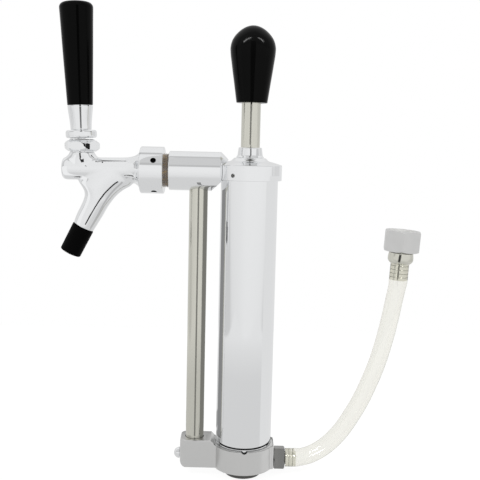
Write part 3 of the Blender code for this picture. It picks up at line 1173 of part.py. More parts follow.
def make_handle():
    """The chromed ferrule on the lever's stud, the black handle and the insert in its top."""
    foot = COLLAR_RISE + COLLAR_HEIGHT + GAP
    head = foot + FERRULE_LENGTH
    side = [
        (FERRULE_FOOT_RADIUS + (FERRULE_HEAD_RADIUS - FERRULE_FOOT_RADIUS) * out,
         foot + FERRULE_LENGTH * up) for out, up in FERRULE_SHARES
    ]
    turned("handle_ferrule", [
        (0, foot + FERRULE_BORE_DEPTH), (FERRULE_BORE_RADIUS, foot + FERRULE_BORE_DEPTH),
        (FERRULE_BORE_RADIUS, foot), *side, (FERRULE_SPIGOT_RADIUS, head),
        (FERRULE_SPIGOT_RADIUS, head + FERRULE_SPIGOT_LENGTH), (0, head + FERRULE_SPIGOT_LENGTH),
    ], CHROME, PIVOT, LEVER_TURN)
    low = head + GAP
    high = low + HANDLE_LENGTH
    socket_top = head + FERRULE_SPIGOT_LENGTH + GAP
    edge = arc((HANDLE_HEAD_RADIUS - HANDLE_EDGE, high - HANDLE_EDGE), HANDLE_EDGE, 0, 90)
    turned("tap_handle", [
        (0, socket_top), (FERRULE_SPIGOT_RADIUS + GAP, socket_top),
        (FERRULE_SPIGOT_RADIUS + GAP, low), (HANDLE_FOOT_RADIUS - HANDLE_FOOT_EDGE, low),
        (HANDLE_FOOT_RADIUS, low + HANDLE_FOOT_EDGE), *edge, (INSERT_RADIUS + GAP, high),
        (INSERT_RADIUS + GAP, high - INSERT_DEPTH - GAP), (0, high - INSERT_DEPTH - GAP),
    ], BLACK_PLASTIC, PIVOT, LEVER_TURN)
    crown = [(INSERT_RADIUS * out, high + INSERT_CROWN * up) for out, up in INSERT_SHARES]
    turned("handle_insert", [
        (0, high - INSERT_DEPTH), (INSERT_RADIUS, high - INSERT_DEPTH), (INSERT_RADIUS, high),
        *crown, (0, high + INSERT_CROWN),
    ], CHROME, PIVOT, LEVER_TURN)


def barbs(start, count, way):
    """The (radius, height) ridges of a barbed stem from its root outwards."""
    crest_share, root_share = BARB_SHARES
    points = []
    for k in range(count):
        foot = start + way * k * BARB_PITCH
        points.append((BARB_RADIUS, foot + way * BARB_PITCH * crest_share))
        points.append((BARB_ROOT_RADIUS, foot + way * BARB_PITCH * root_share))
    return points


def make_inlet():
    """The hexagonal inlet with its barbed stem, screwed into the casting's right side."""
    low = PAD_REACH + GAP
    high = low + INLET_HEX_LENGTH
    place = (0.0, 0.0, INLET_HEIGHT)
    inlet = hexagon("inlet_barb", INLET_HEX_WIDTH, low, high, HEX_CHAMFER, DARK_METAL, place,
                    RIGHT_TURN, INLET_HEX_ANGLE)
    stem = turned("stem", [
        (0, PAD_REACH - INLET_STUB_LENGTH), (INLET_STUB_RADIUS, PAD_REACH - INLET_STUB_LENGTH),
        (INLET_STUB_RADIUS, low + INLET_HEX_LENGTH / 2), (BARB_ROOT_RADIUS, low + INLET_HEX_LENGTH / 2),
        (BARB_ROOT_RADIUS, high + GAP), *barbs(high + GAP, INLET_BARBS, 1),
        (0, high + GAP + BARB_PITCH * INLET_BARBS),
    ], DARK_METAL, place, RIGHT_TURN, SMALL_STEPS)
    fuse(inlet, stem)
    cut(inlet, rod("inlet_bore", BARB_BORE_RADIUS, 0.0, high + BARB_PITCH * INLET_BARBS + OVERRUN,
                   place=place, turn=RIGHT_TURN, steps=TINY_STEPS))


def make_hose():
    """The clear hose: it keeps the curve of the photograph by its own stiffness. Its points
    are closer than on a long cord, because it is short and thick."""
    route = [Vector((x, 0.0, z)) for x, z in HOSE_ROUTE]
    points, length = along(route, 2 * HOSE_RADIUS * HOSE_POINT_SPACING_SHARE)
    print(f"beer hose: {length * 1000:.1f} mm long, {len(points)} points")
    hose = pipe("beer_hose", points, HOSE_RADIUS, HOSE_BEVEL_RESOLUTION, CLEAR_VINYL)
    first = points[0] * 2 - points[1]
    last = points[-1] * 2 - points[-2]
    bore = pipe("hose_bore", [first, *points, last], HOSE_BORE_RADIUS, HOSE_BORE_RESOLUTION, CLEAR_VINYL)
    cut(hose, bore)


def make_hose_end():
    """The tailpiece in the hose's end, its collar, and the captive hexagonal nut."""
    lean = math.radians(END_LEAN)
    end = Vector((HOSE_ROUTE[-1][0], 0.0, HOSE_ROUTE[-1][1]))
    turn = (0.0, lean, 0.0)
    stem_bottom = -BARB_PITCH * TAIL_BARBS
    collar_low = GAP
    collar_top = collar_low + TAIL_COLLAR_HEIGHT
    nut_low = collar_top + GAP
    lip_top = nut_low + HOSE_NUT_LIP
    flange_low = lip_top + GAP
    flange_top = flange_low + TAIL_FLANGE_THICKNESS
    bulge_low, bulge_high = (collar_low + TAIL_COLLAR_HEIGHT * up for up in TAIL_COLLAR_SHARES)
    turned("hose_tailpiece", [
        (BARB_BORE_RADIUS, flange_top), (BARB_BORE_RADIUS, stem_bottom),
        *reversed(barbs(0.0, TAIL_BARBS, -1)), (BARB_ROOT_RADIUS, collar_low), (TAIL_STEM_RADIUS, collar_low),
        (TAIL_STEM_RADIUS, collar_top), (TAIL_NECK_RADIUS, collar_top),
        (TAIL_NECK_RADIUS, flange_low), (TAIL_FLANGE_RADIUS, flange_low),
        (TAIL_FLANGE_RADIUS, flange_top),
    ], STAINLESS, end, turn, SMALL_STEPS)
    turned("tailpiece_collar", [
        (TAIL_STEM_RADIUS + GAP, collar_low), (TAIL_COLLAR_FOOT_RADIUS, collar_low),
        (TAIL_COLLAR_RADIUS, bulge_low), (TAIL_COLLAR_RADIUS, bulge_high),
        (TAIL_COLLAR_TOP_RADIUS, collar_top - GAP), (TAIL_STEM_RADIUS + GAP, collar_top - GAP),
    ], STAINLESS, end, turn)
    nut = hexagon("hose_nut", HOSE_NUT_WIDTH, nut_low, nut_low + HOSE_NUT_HEIGHT,
                  HOSE_NUT_CHAMFER, CASTING, end, turn, HOSE_NUT_ANGLE)
    room = turned("nut_room", [
        (0, nut_low - OVERRUN), (TAIL_NECK_RADIUS + GAP, nut_low - OVERRUN),
        (TAIL_NECK_RADIUS + GAP, lip_top), (HOSE_NUT_BORE_RADIUS, lip_top),
        (HOSE_NUT_BORE_RADIUS, nut_low + HOSE_NUT_HEIGHT + OVERRUN),
        (0, nut_low + HOSE_NUT_HEIGHT + OVERRUN),
    ], CASTING, end, turn)
    cut(nut, room)
    ring("nut_washer", NUT_WASHER_BORE_RADIUS, NUT_WASHER_RADIUS, flange_top + GAP,
         flange_top + GAP + NUT_WASHER_THICKNESS, BLACK_RUBBER, end, turn, SMALL_STEPS)


make_spigot()
make_check_valve()
make_base()
make_plug()
make_barrel()
make_cap()
make_gland()
make_rod_and_knob()
make_piston()
make_riser()
make_arm()
make_arm_screw()
make_shank()
make_coupling_nut()
make_tap_body()
make_sleeve()
make_valve()
make_ball_joint()
make_lever()
make_handle()
make_inlet()
make_hose()
make_hose_end()

for made in bpy.context.collection.objects:
    made.data.shade_smooth()
    made.data.set_sharp_from_angle(angle=math.radians(32))
print(f"{len(bpy.context.collection.objects)} pieces, "
      f"{sum(sum(len(f.vertices) - 2 for f in o.data.polygons) for o in bpy.data.objects)} triangles")
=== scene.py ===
# %% [markdown]
# # The looks of a keg party pump
# The frame below is the pump as it was packed: every piece at its real size, in metres, with
# +Z up and the origin under the coupler spigot. This file dresses that frame and never moves it.
# It is read from top to bottom: camera, light, finishes, then one piece after another.

import math

import bpy
from mathutils import Matrix, Vector


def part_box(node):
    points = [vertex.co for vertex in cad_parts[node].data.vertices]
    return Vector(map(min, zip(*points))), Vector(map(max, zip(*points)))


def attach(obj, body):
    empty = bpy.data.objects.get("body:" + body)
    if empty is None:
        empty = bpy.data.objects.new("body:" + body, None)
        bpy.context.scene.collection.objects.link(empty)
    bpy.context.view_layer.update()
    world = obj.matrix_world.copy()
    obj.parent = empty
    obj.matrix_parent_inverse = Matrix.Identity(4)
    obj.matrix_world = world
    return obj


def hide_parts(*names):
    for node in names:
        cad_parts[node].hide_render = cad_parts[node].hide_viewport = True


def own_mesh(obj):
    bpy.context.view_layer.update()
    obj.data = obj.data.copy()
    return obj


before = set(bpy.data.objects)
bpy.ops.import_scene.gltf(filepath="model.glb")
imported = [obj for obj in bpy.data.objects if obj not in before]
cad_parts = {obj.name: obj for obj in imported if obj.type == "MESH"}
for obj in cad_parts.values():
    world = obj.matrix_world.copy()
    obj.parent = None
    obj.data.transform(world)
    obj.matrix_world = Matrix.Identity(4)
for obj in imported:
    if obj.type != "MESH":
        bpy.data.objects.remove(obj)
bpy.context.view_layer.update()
MM = 0.001
print("pieces in the frame:", len(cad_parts))

# %% [markdown]
# ## The camera
# The photograph was taken from about two thirds of a metre, a little above the middle of the
# pump and looking slightly down. The picture is also turned by a degree or so, so that the
# pump leans to the right. A long lens keeps the barrel's sides nearly parallel.

# %% Camera
CAMERA_PLACE = Vector((-6.6, -635.7, 277.3)) * MM
CAMERA_PITCH = math.radians(-7.04)
CAMERA_ROLL = math.radians(1.33)
CAMERA_LENS = 58.5

bpy.ops.object.camera_add(location=CAMERA_PLACE)
camera = bpy.context.object
camera.name = "photo_camera"
camera.data.lens = CAMERA_LENS
camera.data.sensor_width = 36
looking = Matrix.Rotation(math.pi / 2 + CAMERA_PITCH, 4, "X") @ Matrix.Rotation(CAMERA_ROLL, 4, "Z")
camera.rotation_euler = looking.to_euler()
bpy.context.scene.camera = camera
bpy.context.scene.view_settings.view_transform = "Standard"
print("camera at", [round(value, 3) for value in camera.location])

# %% [markdown]
# ## Colours and nodes
# Colours are written as sRGB hex values, as a paint chart gives them. Blender's shaders want
# linear light, so one function turns them. A second one adds a node: it takes the node's
# settings, and what goes into each of its inputs, a value or another node's output.

# %% Colour and node helpers
def linear(hex_colour):
    channels = [int(hex_colour[place:place + 2], 16) / 255 for place in (1, 3, 5)]
    return (*[c / 12.92 if c <= 0.04045 else ((c + 0.055) / 1.055) ** 2.4 for c in channels], 1.0)


def grey(level):
    return (level, level, level, 1.0)


def add_node(tree, kind, inputs=None, stops=(), **settings):
    node = tree.nodes.new("ShaderNode" + kind)
    for name, value in settings.items():
        setattr(node, name, value)
    for name, value in (inputs or {}).items():
        if isinstance(value, bpy.types.NodeSocket):
            tree.links.new(value, node.inputs[name])
        else:
            node.inputs[name].default_value = value
    for number, (place, level) in enumerate(stops):
        if number < 2:
            stop = node.color_ramp.elements[number]
            stop.position = place
        else:
            stop = node.color_ramp.elements.new(place)
        stop.color = grey(level)
    return node


print("chrome's pale grey, linear:", [round(c, 3) for c in linear("#F1F2F3")])

# %% [markdown]
# ## The room
# Chrome has no colour of its own: it shows the room. A photographer lights it inside a white
# tent, and the tent's seams and gaps become the thin grey lines on the metal. Here the tent is
# the world: a ray that reflects off a piece reads its brightness from the direction it leaves
# in. The camera, and what is seen through the clear hose, meet plain white.

# %% The tent
TENT_UP = [
    (0.0, 0.84), (0.25, 0.70), (0.40, 0.70), (0.435, 0.84), (0.50, 0.90), (0.566, 0.90),
    (0.578, 0.55), (0.594, 0.55), (0.608, 0.66), (0.725, 0.66), (0.750, 0.57), (0.760, 0.55),
    (0.772, 0.88), (0.88, 0.86), (1.0, 0.80),
]
TENT_AROUND = [
    (0.0, 0.92), (0.25, 0.93), (0.40, 0.96), (0.48, 1.0), (0.62, 1.0), (0.765, 0.98),
    (0.778, 0.87), (0.86, 0.87), (0.875, 0.98), (1.0, 0.93),
]
PLAIN_LEVEL = 0.80
STEEP_FROM, STEEP_TO = 0.45, 0.60


def seen_directly(tree, ray):
    """1 for a ray from the camera, or one that has come through clear vinyl, and else 0."""
    return add_node(
        tree, "Math", {0: ray.outputs["Is Camera Ray"], 1: ray.outputs["Is Transmission Ray"]},
        operation="MAXIMUM",
    ).outputs[0]


world = bpy.data.worlds.new("white_tent")
bpy.context.scene.world = world
world.use_nodes = True
tree = world.node_tree
tree.nodes.clear()
way = add_node(tree, "SeparateXYZ", {0: add_node(tree, "TexCoord").outputs["Generated"]})
towards = add_node(tree, "Math", {0: way.outputs["Y"], 1: -1.0}, operation="MULTIPLY").outputs[0]
rise = add_node(tree, "Math", {0: way.outputs["Z"], 1: towards}, operation="ARCTAN2").outputs[0]
swing = add_node(tree, "Math", {0: way.outputs["X"], 1: towards}, operation="ARCTAN2").outputs[0]
turn_share = {"From Min": -math.pi, "From Max": math.pi}
rise_share = add_node(tree, "MapRange", {"Value": rise, **turn_share}).outputs[0]
swing_share = add_node(tree, "MapRange", {"Value": swing, **turn_share}).outputs[0]
upward = add_node(tree, "ValToRGB", {"Fac": rise_share}, TENT_UP).outputs["Color"]
around = add_node(tree, "ValToRGB", {"Fac": swing_share}, TENT_AROUND).outputs["Color"]
steepness = add_node(tree, "Math", {0: way.outputs["Z"]}, operation="ABSOLUTE").outputs[0]
level_share = add_node(tree, "MapRange", {
    "Value": steepness, "From Min": STEEP_FROM, "From Max": STEEP_TO, "To Min": 1.0, "To Max": 0.0,
}).outputs[0]
tent = add_node(
    tree, "MixRGB", {"Fac": level_share, "Color1": upward, "Color2": around}, blend_type="MULTIPLY",
).outputs["Color"]
ray = add_node(tree, "LightPath")
lit = add_node(tree, "MixRGB", {
    "Fac": ray.outputs["Is Glossy Ray"], "Color1": grey(PLAIN_LEVEL), "Color2": tent,
}).outputs["Color"]
shown = add_node(tree, "MixRGB", {
    "Fac": seen_directly(tree, ray), "Color1": lit, "Color2": grey(1.0),
}).outputs["Color"]
glow = add_node(tree, "Background", {"Color": shown})
add_node(tree, "OutputWorld", {"Surface": glow.outputs[0]})
print("world nodes:", len(tree.nodes))

# %% [markdown]
# ## The floor
# The pump stands on a sheet of pale paper. Its material is mostly white where the camera looks
# straight at it, so no edge shows, but a share of the real surface stays, and with it the
# pump's soft shadow. Reflections see the paper a little darker near the pump, where less light
# falls on it, and as bright as the tent at its rim, so the metal gets a soft gradient.

# %% The floor
FLOOR_SIZE = 1.0
FLOOR_SHADE = 0.12
FLOOR_GLOW = 1.05
FLOOR_MIRRORED = [(0.0, 0.70), (0.30, 0.71), (0.45, 0.80), (0.50, 0.84)]

bpy.ops.mesh.primitive_plane_add(size=FLOOR_SIZE)
floor = bpy.context.object
floor.name = "paper_floor"
paper = bpy.data.materials.new("white_paper")
paper.use_nodes = True
tree = paper.node_tree
tree.nodes.clear()
surface = add_node(tree, "BsdfDiffuse", {"Color": linear("#F4F4F2")}).outputs[0]
white = add_node(tree, "Emission", {"Color": grey(1.0), "Strength": FLOOR_GLOW}).outputs[0]
spot = add_node(tree, "TexCoord").outputs["Object"]
away = add_node(tree, "VectorMath", {0: spot}, operation="LENGTH").outputs["Value"]
shade = add_node(tree, "ValToRGB", {"Fac": away}, FLOOR_MIRRORED).outputs["Color"]
mirrored = add_node(tree, "Emission", {"Color": shade}).outputs[0]
ray = add_node(tree, "LightPath")
seen = seen_directly(tree, ray)
seen_share = add_node(tree, "Math", {0: seen, 1: 1 - FLOOR_SHADE}, operation="MULTIPLY").outputs[0]
plain = add_node(tree, "MixShader", {"Fac": seen_share, 1: surface, 2: white}).outputs[0]
in_metal = add_node(
    tree, "Math", {0: ray.outputs["Is Glossy Ray"], 1: seen}, operation="SUBTRACT", use_clamp=True,
).outputs[0]
paper_look = add_node(tree, "MixShader", {"Fac": in_metal, 1: plain, 2: mirrored}).outputs[0]
add_node(tree, "OutputMaterial", {"Surface": paper_look})
floor.data.materials.append(paper)
print("floor:", FLOOR_SIZE, "m wide")

# %% [markdown]
# ## Lamps
# Two soft lamps give the diffuse pieces a light side and a darker one. They are weak, because
# the tent already lights everything, and metal doesn't mirror them. The two long boxes above
# the front are what the glossy knob mirrors as small curved highlights. Light linking keeps
# them to the knob.

# %% Lamps
LAMPS = [
    ("left_lamp", (-0.9, -1.0, 1.3), 0.45, 9.0),
    ("right_lamp", (1.0, -0.8, 1.2), 0.35, 7.0),
]
MIDDLE = Vector((0.0, 0.0, 0.2))
LONG_BOXES = [
    ("left_long_box", (-0.88, -0.60, 0.95), (-0.17, -0.60, 1.27), 11.0),
    ("right_long_box", (0.40, -0.60, 1.41), (0.98, -0.60, 1.08), 10.0),
]
BOX_WIDTH = 0.11
KNOB_MIDDLE = Vector((0.0, 0.0, 0.355))

for name, place, size, power in LAMPS:
    bpy.ops.object.light_add(type="AREA", location=place)
    lamp = bpy.context.object
    lamp.name = name
    lamp.data.size = size
    lamp.data.energy = power
    lamp.rotation_euler = (MIDDLE - Vector(place)).to_track_quat("-Z", "Y").to_euler()
    lamp.visible_glossy = False

black_pieces = bpy.data.collections.new("black_pieces")
for name, start, end, power in LONG_BOXES:
    start, end = Vector(start), Vector(end)
    bpy.ops.object.light_add(type="AREA", location=(start + end) / 2)
    lamp = bpy.context.object
    lamp.name = name
    lamp.data.shape = "RECTANGLE"
    lamp.data.size = (end - start).length
    lamp.data.size_y = BOX_WIDTH
    lamp.data.energy = power
    along = (end - start).normalized()
    back = (lamp.location - KNOB_MIDDLE).normalized()
    back = (back - along * back.dot(along)).normalized()
    lamp.rotation_euler = Matrix((along, back.cross(along), back)).transposed().to_euler()
    lamp.light_linking.receiver_collection = black_pieces
print("lamps:", len(LAMPS) + len(LONG_BOXES))

# %% [markdown]
# ## Finishes
# Every finish starts from one function: a named material with its colour, how metallic it is
# and how rough. What makes it real comes after: fine noise in roughness and in height, whose
# scale is worked out from a size in millimetres.

# %% A plain finish to start from
def finish(name, colour, metallic, roughness, more=None):
    """What is the same all over a surface is set on the shader's own sockets."""
    material = bpy.data.materials.new(name)
    material.use_nodes = True
    sockets = material.node_tree.nodes["Principled BSDF"].inputs
    sockets["Base Color"].default_value = linear(colour)
    for socket, value in {"Metallic": metallic, "Roughness": roughness, **(more or {})}.items():
        sockets[socket].default_value = value
    return material


def per_metre(size_mm):
    """A noise scale whose pattern repeats at about this many millimetres."""
    return 1.0 / (size_mm * MM)


def noise(tree, size_mm, detail=3.0, stretch=(1.0, 1.0, 1.0)):
    place = add_node(tree, "TexCoord").outputs["Object"]
    mapped = add_node(tree, "Mapping", {"Vector": place, "Scale": stretch}).outputs[0]
    return add_node(
        tree, "TexNoise", {"Vector": mapped, "Scale": per_metre(size_mm), "Detail": detail},
    ).outputs["Fac"]


def feed(material, socket, output):
    material.node_tree.links.new(
        output, material.node_tree.nodes["Principled BSDF"].inputs[socket],
    )


def vary(material, size_mm, low, high, **pattern):
    """Varies the roughness between two values. The noise lies mostly in 0.3 to 0.7."""
    tree = material.node_tree
    feed(material, "Roughness", add_node(tree, "MapRange", {
        "Value": noise(tree, size_mm, **pattern), "From Min": 0.3, "From Max": 0.7,
        "To Min": low, "To Max": high,
    }).outputs[0])


def bump(material, size_mm, height_mm, strength=1.0, **pattern):
    tree = material.node_tree
    feed(material, "Normal", add_node(tree, "Bump", {
        "Height": noise(tree, size_mm, **pattern), "Distance": height_mm * MM, "Strength": strength,
    }).outputs[0])


# %% [markdown]
# ### Polished chrome
# The barrel, cap, arm, nuts and tap are brass, ground, buffed, then plated with nickel and a
# thin bright chrome. Chrome reflects about two thirds to nine tenths of the light with a
# slightly cool tint. The buffing leaves it almost mirror-like, with faint clouds of haze where
# it has been handled, and the cast tap keeps a trace of the waviness of hand polishing.

# %% Polished chrome
chrome = finish("polished_chrome_plate", "#F1F2F3", 1.0, 0.06)
vary(chrome, 18.0, 0.045, 0.085)

cast_chrome = finish("buffed_chrome_on_casting", "#F1F2F3", 1.0, 0.07)
vary(cast_chrome, 12.0, 0.05, 0.10)
bump(cast_chrome, 9.0, 0.012, detail=1.0)
print("chrome finishes: 2")

# %% [markdown]
# ### Drawn stainless steel
# The riser and the pump rod are drawn stainless tubes, only brushed along their length. The
# steel is warmer and darker than chrome, and the brushing spreads each reflection sideways.
# The lines are drawn with noise that is stretched along the tube: 0.25 mm across and many
# millimetres long, coarser than real grit so that they can show at all.

# %% Drawn stainless steel
ALONG_Z = (1.0, 1.0, 0.02)
stainless = finish("drawn_stainless_steel", "#D8D7CD", 1.0, 0.14)
vary(stainless, 0.25, 0.11, 0.17, detail=2.0, stretch=ALONG_Z)
bump(stainless, 0.25, 0.002, 0.4, detail=2.0, stretch=ALONG_Z)
print("steel:", stainless.name)

# %% [markdown]
# ### Satin cast zinc
# The base is a die casting that was tumbled and satin plated, so it looks pale grey and soft:
# no sharp reflections, a fine grain of about a third of a millimetre, and slightly cloudy. The
# inside of the hose's nut is dull, and its near-white colour is painted light that keeps it pale.
# The inlet and the spigot are nickel that has gone grey. Bores, holes and a groove get a
# near-black colour that is painted shade, where little light reaches.

# %% Satin casting and the darker nickel
satin = finish("satin_plated_zinc_casting", "#DADAD9", 1.0, 0.34)
vary(satin, 6.0, 0.30, 0.42)
bump(satin, 0.35, 0.006, 0.6, detail=2.0)

# Dull zinc for the inside of the hose's nut; its near-white colour is painted light that keeps it
# pale.
dull_zinc_painted_light = finish("pale_zinc_painted_light", "#F4F4F2", 0.25, 0.65)

nickel = finish("dull_nickel_plate", "#8E8E8C", 1.0, 0.3)
vary(nickel, 2.5, 0.22, 0.4)
bump(nickel, 0.3, 0.004, 0.5, detail=2.0)

dark_nickel = finish("blackened_nickel", "#5C5B59", 1.0, 0.36)
vary(dark_nickel, 2.0, 0.28, 0.45)
bump(dark_nickel, 0.3, 0.004, 0.5, detail=2.0)

# Painted shade: a near-black finish for bores, holes and grooves, where little light reaches.
painted_shade_bore = finish("painted_shade_dark_bore", "#0E0E0E", 0.0, 0.5, {"Specular IOR Level": 0.1})
vary(painted_shade_bore, 1.0, 0.4, 0.6)

# %% [markdown]
# ### Brass, spring steel and the hidden soft parts
# Inside, the pump has plain turned brass, a music-wire spring, nylon bearings and rubber seals.
# Little of it shows, but each has its own finish, because the parts are shown apart too. The
# shank's thread is brass whose nickel plate is worn, so grey and brass lie side by side in
# patches of a millimetre or two.

# %% Inner finishes
brass = finish("turned_brass", "#C6A66B", 1.0, 0.25)
vary(brass, 1.2, 0.2, 0.34)

worn_brass = finish("worn_nickel_over_brass", "#A9A29A", 1.0, 0.25)
tree = worn_brass.node_tree
worn = add_node(tree, "MapRange", {
    "Value": noise(tree, 1.6), "From Min": 0.52, "From Max": 0.66, "To Min": 0.0, "To Max": 1.0,
}).outputs[0]
feed(worn_brass, "Base Color", add_node(
    tree, "MixRGB", {"Fac": worn, "Color1": linear("#A8A29D"), "Color2": linear("#BFAB86")},
).outputs[0])
vary(worn_brass, 1.2, 0.18, 0.34)

spring_steel = finish("spring_steel_wire", "#9A9A9C", 1.0, 0.28)
vary(spring_steel, 0.8, 0.22, 0.36)

nylon = finish("white_nylon", "#E4E1D8", 0.0, 0.42)
vary(nylon, 1.5, 0.36, 0.5)

rubber = finish("black_rubber", "#181818", 0.0, 0.6)
vary(rubber, 1.0, 0.5, 0.7)
bump(rubber, 0.3, 0.01, 0.5)

# %% [markdown]
# ### Black plastics
# The pump knob and the tap handle are moulded phenolic, close to black and glossy from the
# mould, with very slight unevenness. The spout's sleeve is duller, softer plastic.

# %% Black plastics
gloss_black = finish("black_phenolic", "#050505", 0.0, 0.12, {"Specular IOR Level": 0.05})
vary(gloss_black, 7.0, 0.09, 0.18)
bump(gloss_black, 5.0, 0.01, detail=1.0)

matte_black = finish("black_sleeve_plastic", "#030303", 0.0, 0.45, {"Specular IOR Level": 0.03})
vary(matte_black, 3.0, 0.38, 0.55)
bump(matte_black, 0.4, 0.01, 0.5)

# %% [markdown]
# ### Clear vinyl
# The hose is soft PVC. It lets nearly all light through and bends it like window glass does.
# Its wall takes a little light away, yellow least, so the hose looks pale grey against white
# and darkest at its edges, where one looks through the most of it.

# %% Clear vinyl
vinyl = finish("clear_vinyl", "#FDFDFC", 0.0, 0.05, {"Transmission Weight": 1.0, "IOR": 1.53})
tree = vinyl.node_tree
vary(vinyl, 6.0, 0.03, 0.07)
haze = add_node(tree, "VolumeAbsorption", {"Color": linear("#C5C0A0"), "Density": 50.0})
tree.links.new(haze.outputs[0], tree.nodes["Material Output"].inputs["Volume"])
print("materials:", len(bpy.data.materials))

# %% [markdown]
# ## Shaping helpers
# Each piece starts as one of Blender's primitives and is shaped with edit-mode operators, as
# by hand. An operator works on everything that is selected, so each helper first selects only
# its own object.

# %% Selecting
def choose(*objects):
    bpy.ops.object.select_all(action="DESELECT")
    for one in objects:
        one.select_set(True)
    if objects:
        bpy.context.view_layer.objects.active = objects[0]


def edit_all():
    """Selects a whole mesh, in edit mode."""
    bpy.ops.object.mode_set(mode="EDIT")
    bpy.ops.mesh.select_all(action="SELECT")


def named(name):
    """Names the newest primitive and puts its place and turn into its mesh."""
    made = bpy.context.object
    made.name = name
    bpy.ops.object.transform_apply(location=True, rotation=True, scale=True)
    return made


ORIGIN = (0.0, 0.0, 0.0)


def settle(obj, place=ORIGIN, turn=ORIGIN):
    """Turns and moves an object, place in mm, then puts that into its mesh."""
    choose(obj)
    obj.location = Vector(place) * MM
    obj.rotation_euler = turn
    bpy.ops.object.transform_apply(location=True, rotation=True, scale=True)
    return obj


# %% [markdown]
# ### Turning on a lathe
# Most of the pump is turned metal. A single point is dragged along half of the piece's
# section, and the line that it leaves is spun round the axis. The ends are then merged, and
# the normals are made to point outwards. A drilling is turned in the same way, as a cutter, and
# a flat bar is an outline that is filled and drawn out.

# %% The lathe
MERGE = 0.004 * MM
ROUND = 96


def trace(name, points):
    """Draws (x, z) points in mm, one after another, and stays in edit mode."""
    choose()
    bpy.ops.mesh.primitive_plane_add(size=MM)
    line = named(name)
    edit_all()
    bpy.ops.mesh.merge(type="CENTER")
    bpy.ops.transform.translate(value=(points[0][0] * MM, 0.0, points[0][1] * MM))
    for (x0, z0), (x1, z1) in zip(points, points[1:]):
        step = ((x1 - x0) * MM, 0.0, (z1 - z0) * MM)
        bpy.ops.mesh.extrude_vertices_move(TRANSFORM_OT_translate={"value": step})
    return line


def plate(name, points, merge=MERGE):
    """Traces a closed outline, fills it with one face and stays in edit mode."""
    made = trace(name, [*points, points[0]])
    edit_all()
    bpy.ops.mesh.remove_doubles(threshold=merge)
    bpy.ops.mesh.edge_face_add()
    return made


def close_mesh():
    """Points all faces outwards and leaves edit mode."""
    edit_all()
    bpy.ops.mesh.normals_make_consistent(inside=False)
    bpy.ops.object.mode_set(mode="OBJECT")


def lathe(name, section, place=ORIGIN, turn=ORIGIN, steps=ROUND):
    """Spins a section of (radius, height) points in mm round Z. A ring's section never meets
    the axis and is closed here."""
    if section[0][0] > 0:
        section = [*section, section[0]]
    made = trace(name, section)
    edit_all()
    bpy.ops.mesh.spin(steps=steps, angle=2 * math.pi, center=(0, 0, 0), axis=(0, 0, 1))
    edit_all()
    bpy.ops.mesh.remove_doubles(threshold=MERGE)
    close_mesh()
    return settle(made, place, turn)


def drill(name, start, steps, place=ORIGIN, turn=ORIGIN, fine=ROUND):
    """A cutter for a drilling. From its start, each step is a radius and the height that it
    goes on to, in mm."""
    section = [(0, start)]
    for radius, stop in steps:
        section += [(radius, start), (radius, stop)]
        start = stop
    return lathe(name, [*section, (0, start)], place, turn, fine)


def block(name, points, low, high, turn=ORIGIN):
    """A flat outline of (x, z) mm that is drawn out from low to high across its plane."""
    made = plate(name, points)
    bpy.ops.transform.translate(value=(0, low * MM, 0))
    bpy.ops.mesh.extrude_region_move(TRANSFORM_OT_translate={"value": (0, (high - low) * MM, 0)})
    close_mesh()
    return settle(made, turn=turn)


# %% [markdown]
# ### Rounding, cutting and joining
# Real edges are never sharp: a bevel of a few tenths of a millimetre catches the light. A
# drilling is a turned cutter that a Boolean takes away. Two forms cast in one piece are joined,
# turned into small voxels and smoothed, which gives the join its fillet.

# %% Modifier helpers
def add_modifier(obj, kind, **settings):
    """Adds a modifier, sets it and applies it at once."""
    choose(obj)
    bpy.ops.object.modifier_add(type=kind)
    made = obj.modifiers[-1]
    for name, value in settings.items():
        setattr(made, name, value)
    bpy.ops.object.modifier_apply(modifier=made.name)


def soften(obj, width, segments=3, angle=28.0):
    add_modifier(
        obj, "BEVEL", width=width * MM, segments=segments, limit_method="ANGLE",
        angle_limit=math.radians(angle), use_clamp_overlap=True,
    )
    return obj


def combine(obj, how, *others):
    for other in others:
        add_modifier(obj, "BOOLEAN", operation=how, solver="EXACT", object=other)
        bpy.data.objects.remove(other)
    return obj


def cut(obj, *cutters):
    return combine(obj, "DIFFERENCE", *cutters)


def melt(obj, voxel, rounds, *others):
    """Joins closed forms into one skin and rounds the creases between them."""
    choose(obj, *others)
    if others:
        bpy.ops.object.join()
    add_modifier(obj, "REMESH", mode="VOXEL", voxel_size=voxel * MM)
    add_modifier(obj, "SMOOTH", factor=0.5, iterations=rounds)
    return obj


# %% [markdown]
# ### Smooth outlines
# A knob or a spout has an outline without corners. A few measured points are enough: a
# Catmull-Rom curve passes through all of them, and its middle points are worked out here.

# %% Smooth lines
def smooth_line(points, per_span=6):
    fine = []
    for number in range(len(points) - 1):
        p0 = Vector(points[max(number - 1, 0)])
        p1, p2 = Vector(points[number]), Vector(points[number + 1])
        p3 = Vector(points[min(number + 2, len(points) - 1)])
        for step in range(per_span):
            t = step / per_span
            fine.append(tuple(0.5 * (
                2 * p1 + (p2 - p0) * t + (2 * p0 - 5 * p1 + 4 * p2 - p3) * t ** 2
                + (3 * p1 - p0 - 3 * p2 + p3) * t ** 3
            )))
    return [*fine, tuple(points[-1])]


def arc(centre, radius, start, end, steps=8):
    """Points on an arc in the section's plane, from one angle in degrees to another."""
    return [
        (centre[0] + radius * math.cos(math.radians(start + (end - start) * k / steps)),
         centre[1] + radius * math.sin(math.radians(start + (end - start) * k / steps)))
        for k in range(steps + 1)
    ]


# %% [markdown]
# ### Handing a piece over
# A finished piece gets its material and smooth shading, rides on a body of the frame, and
# stands for the plain CAD nodes that it replaces. Weighted normals let the large flat faces
# keep their own direction, so a bevelled hexagon reads as flats with narrow rounded edges.

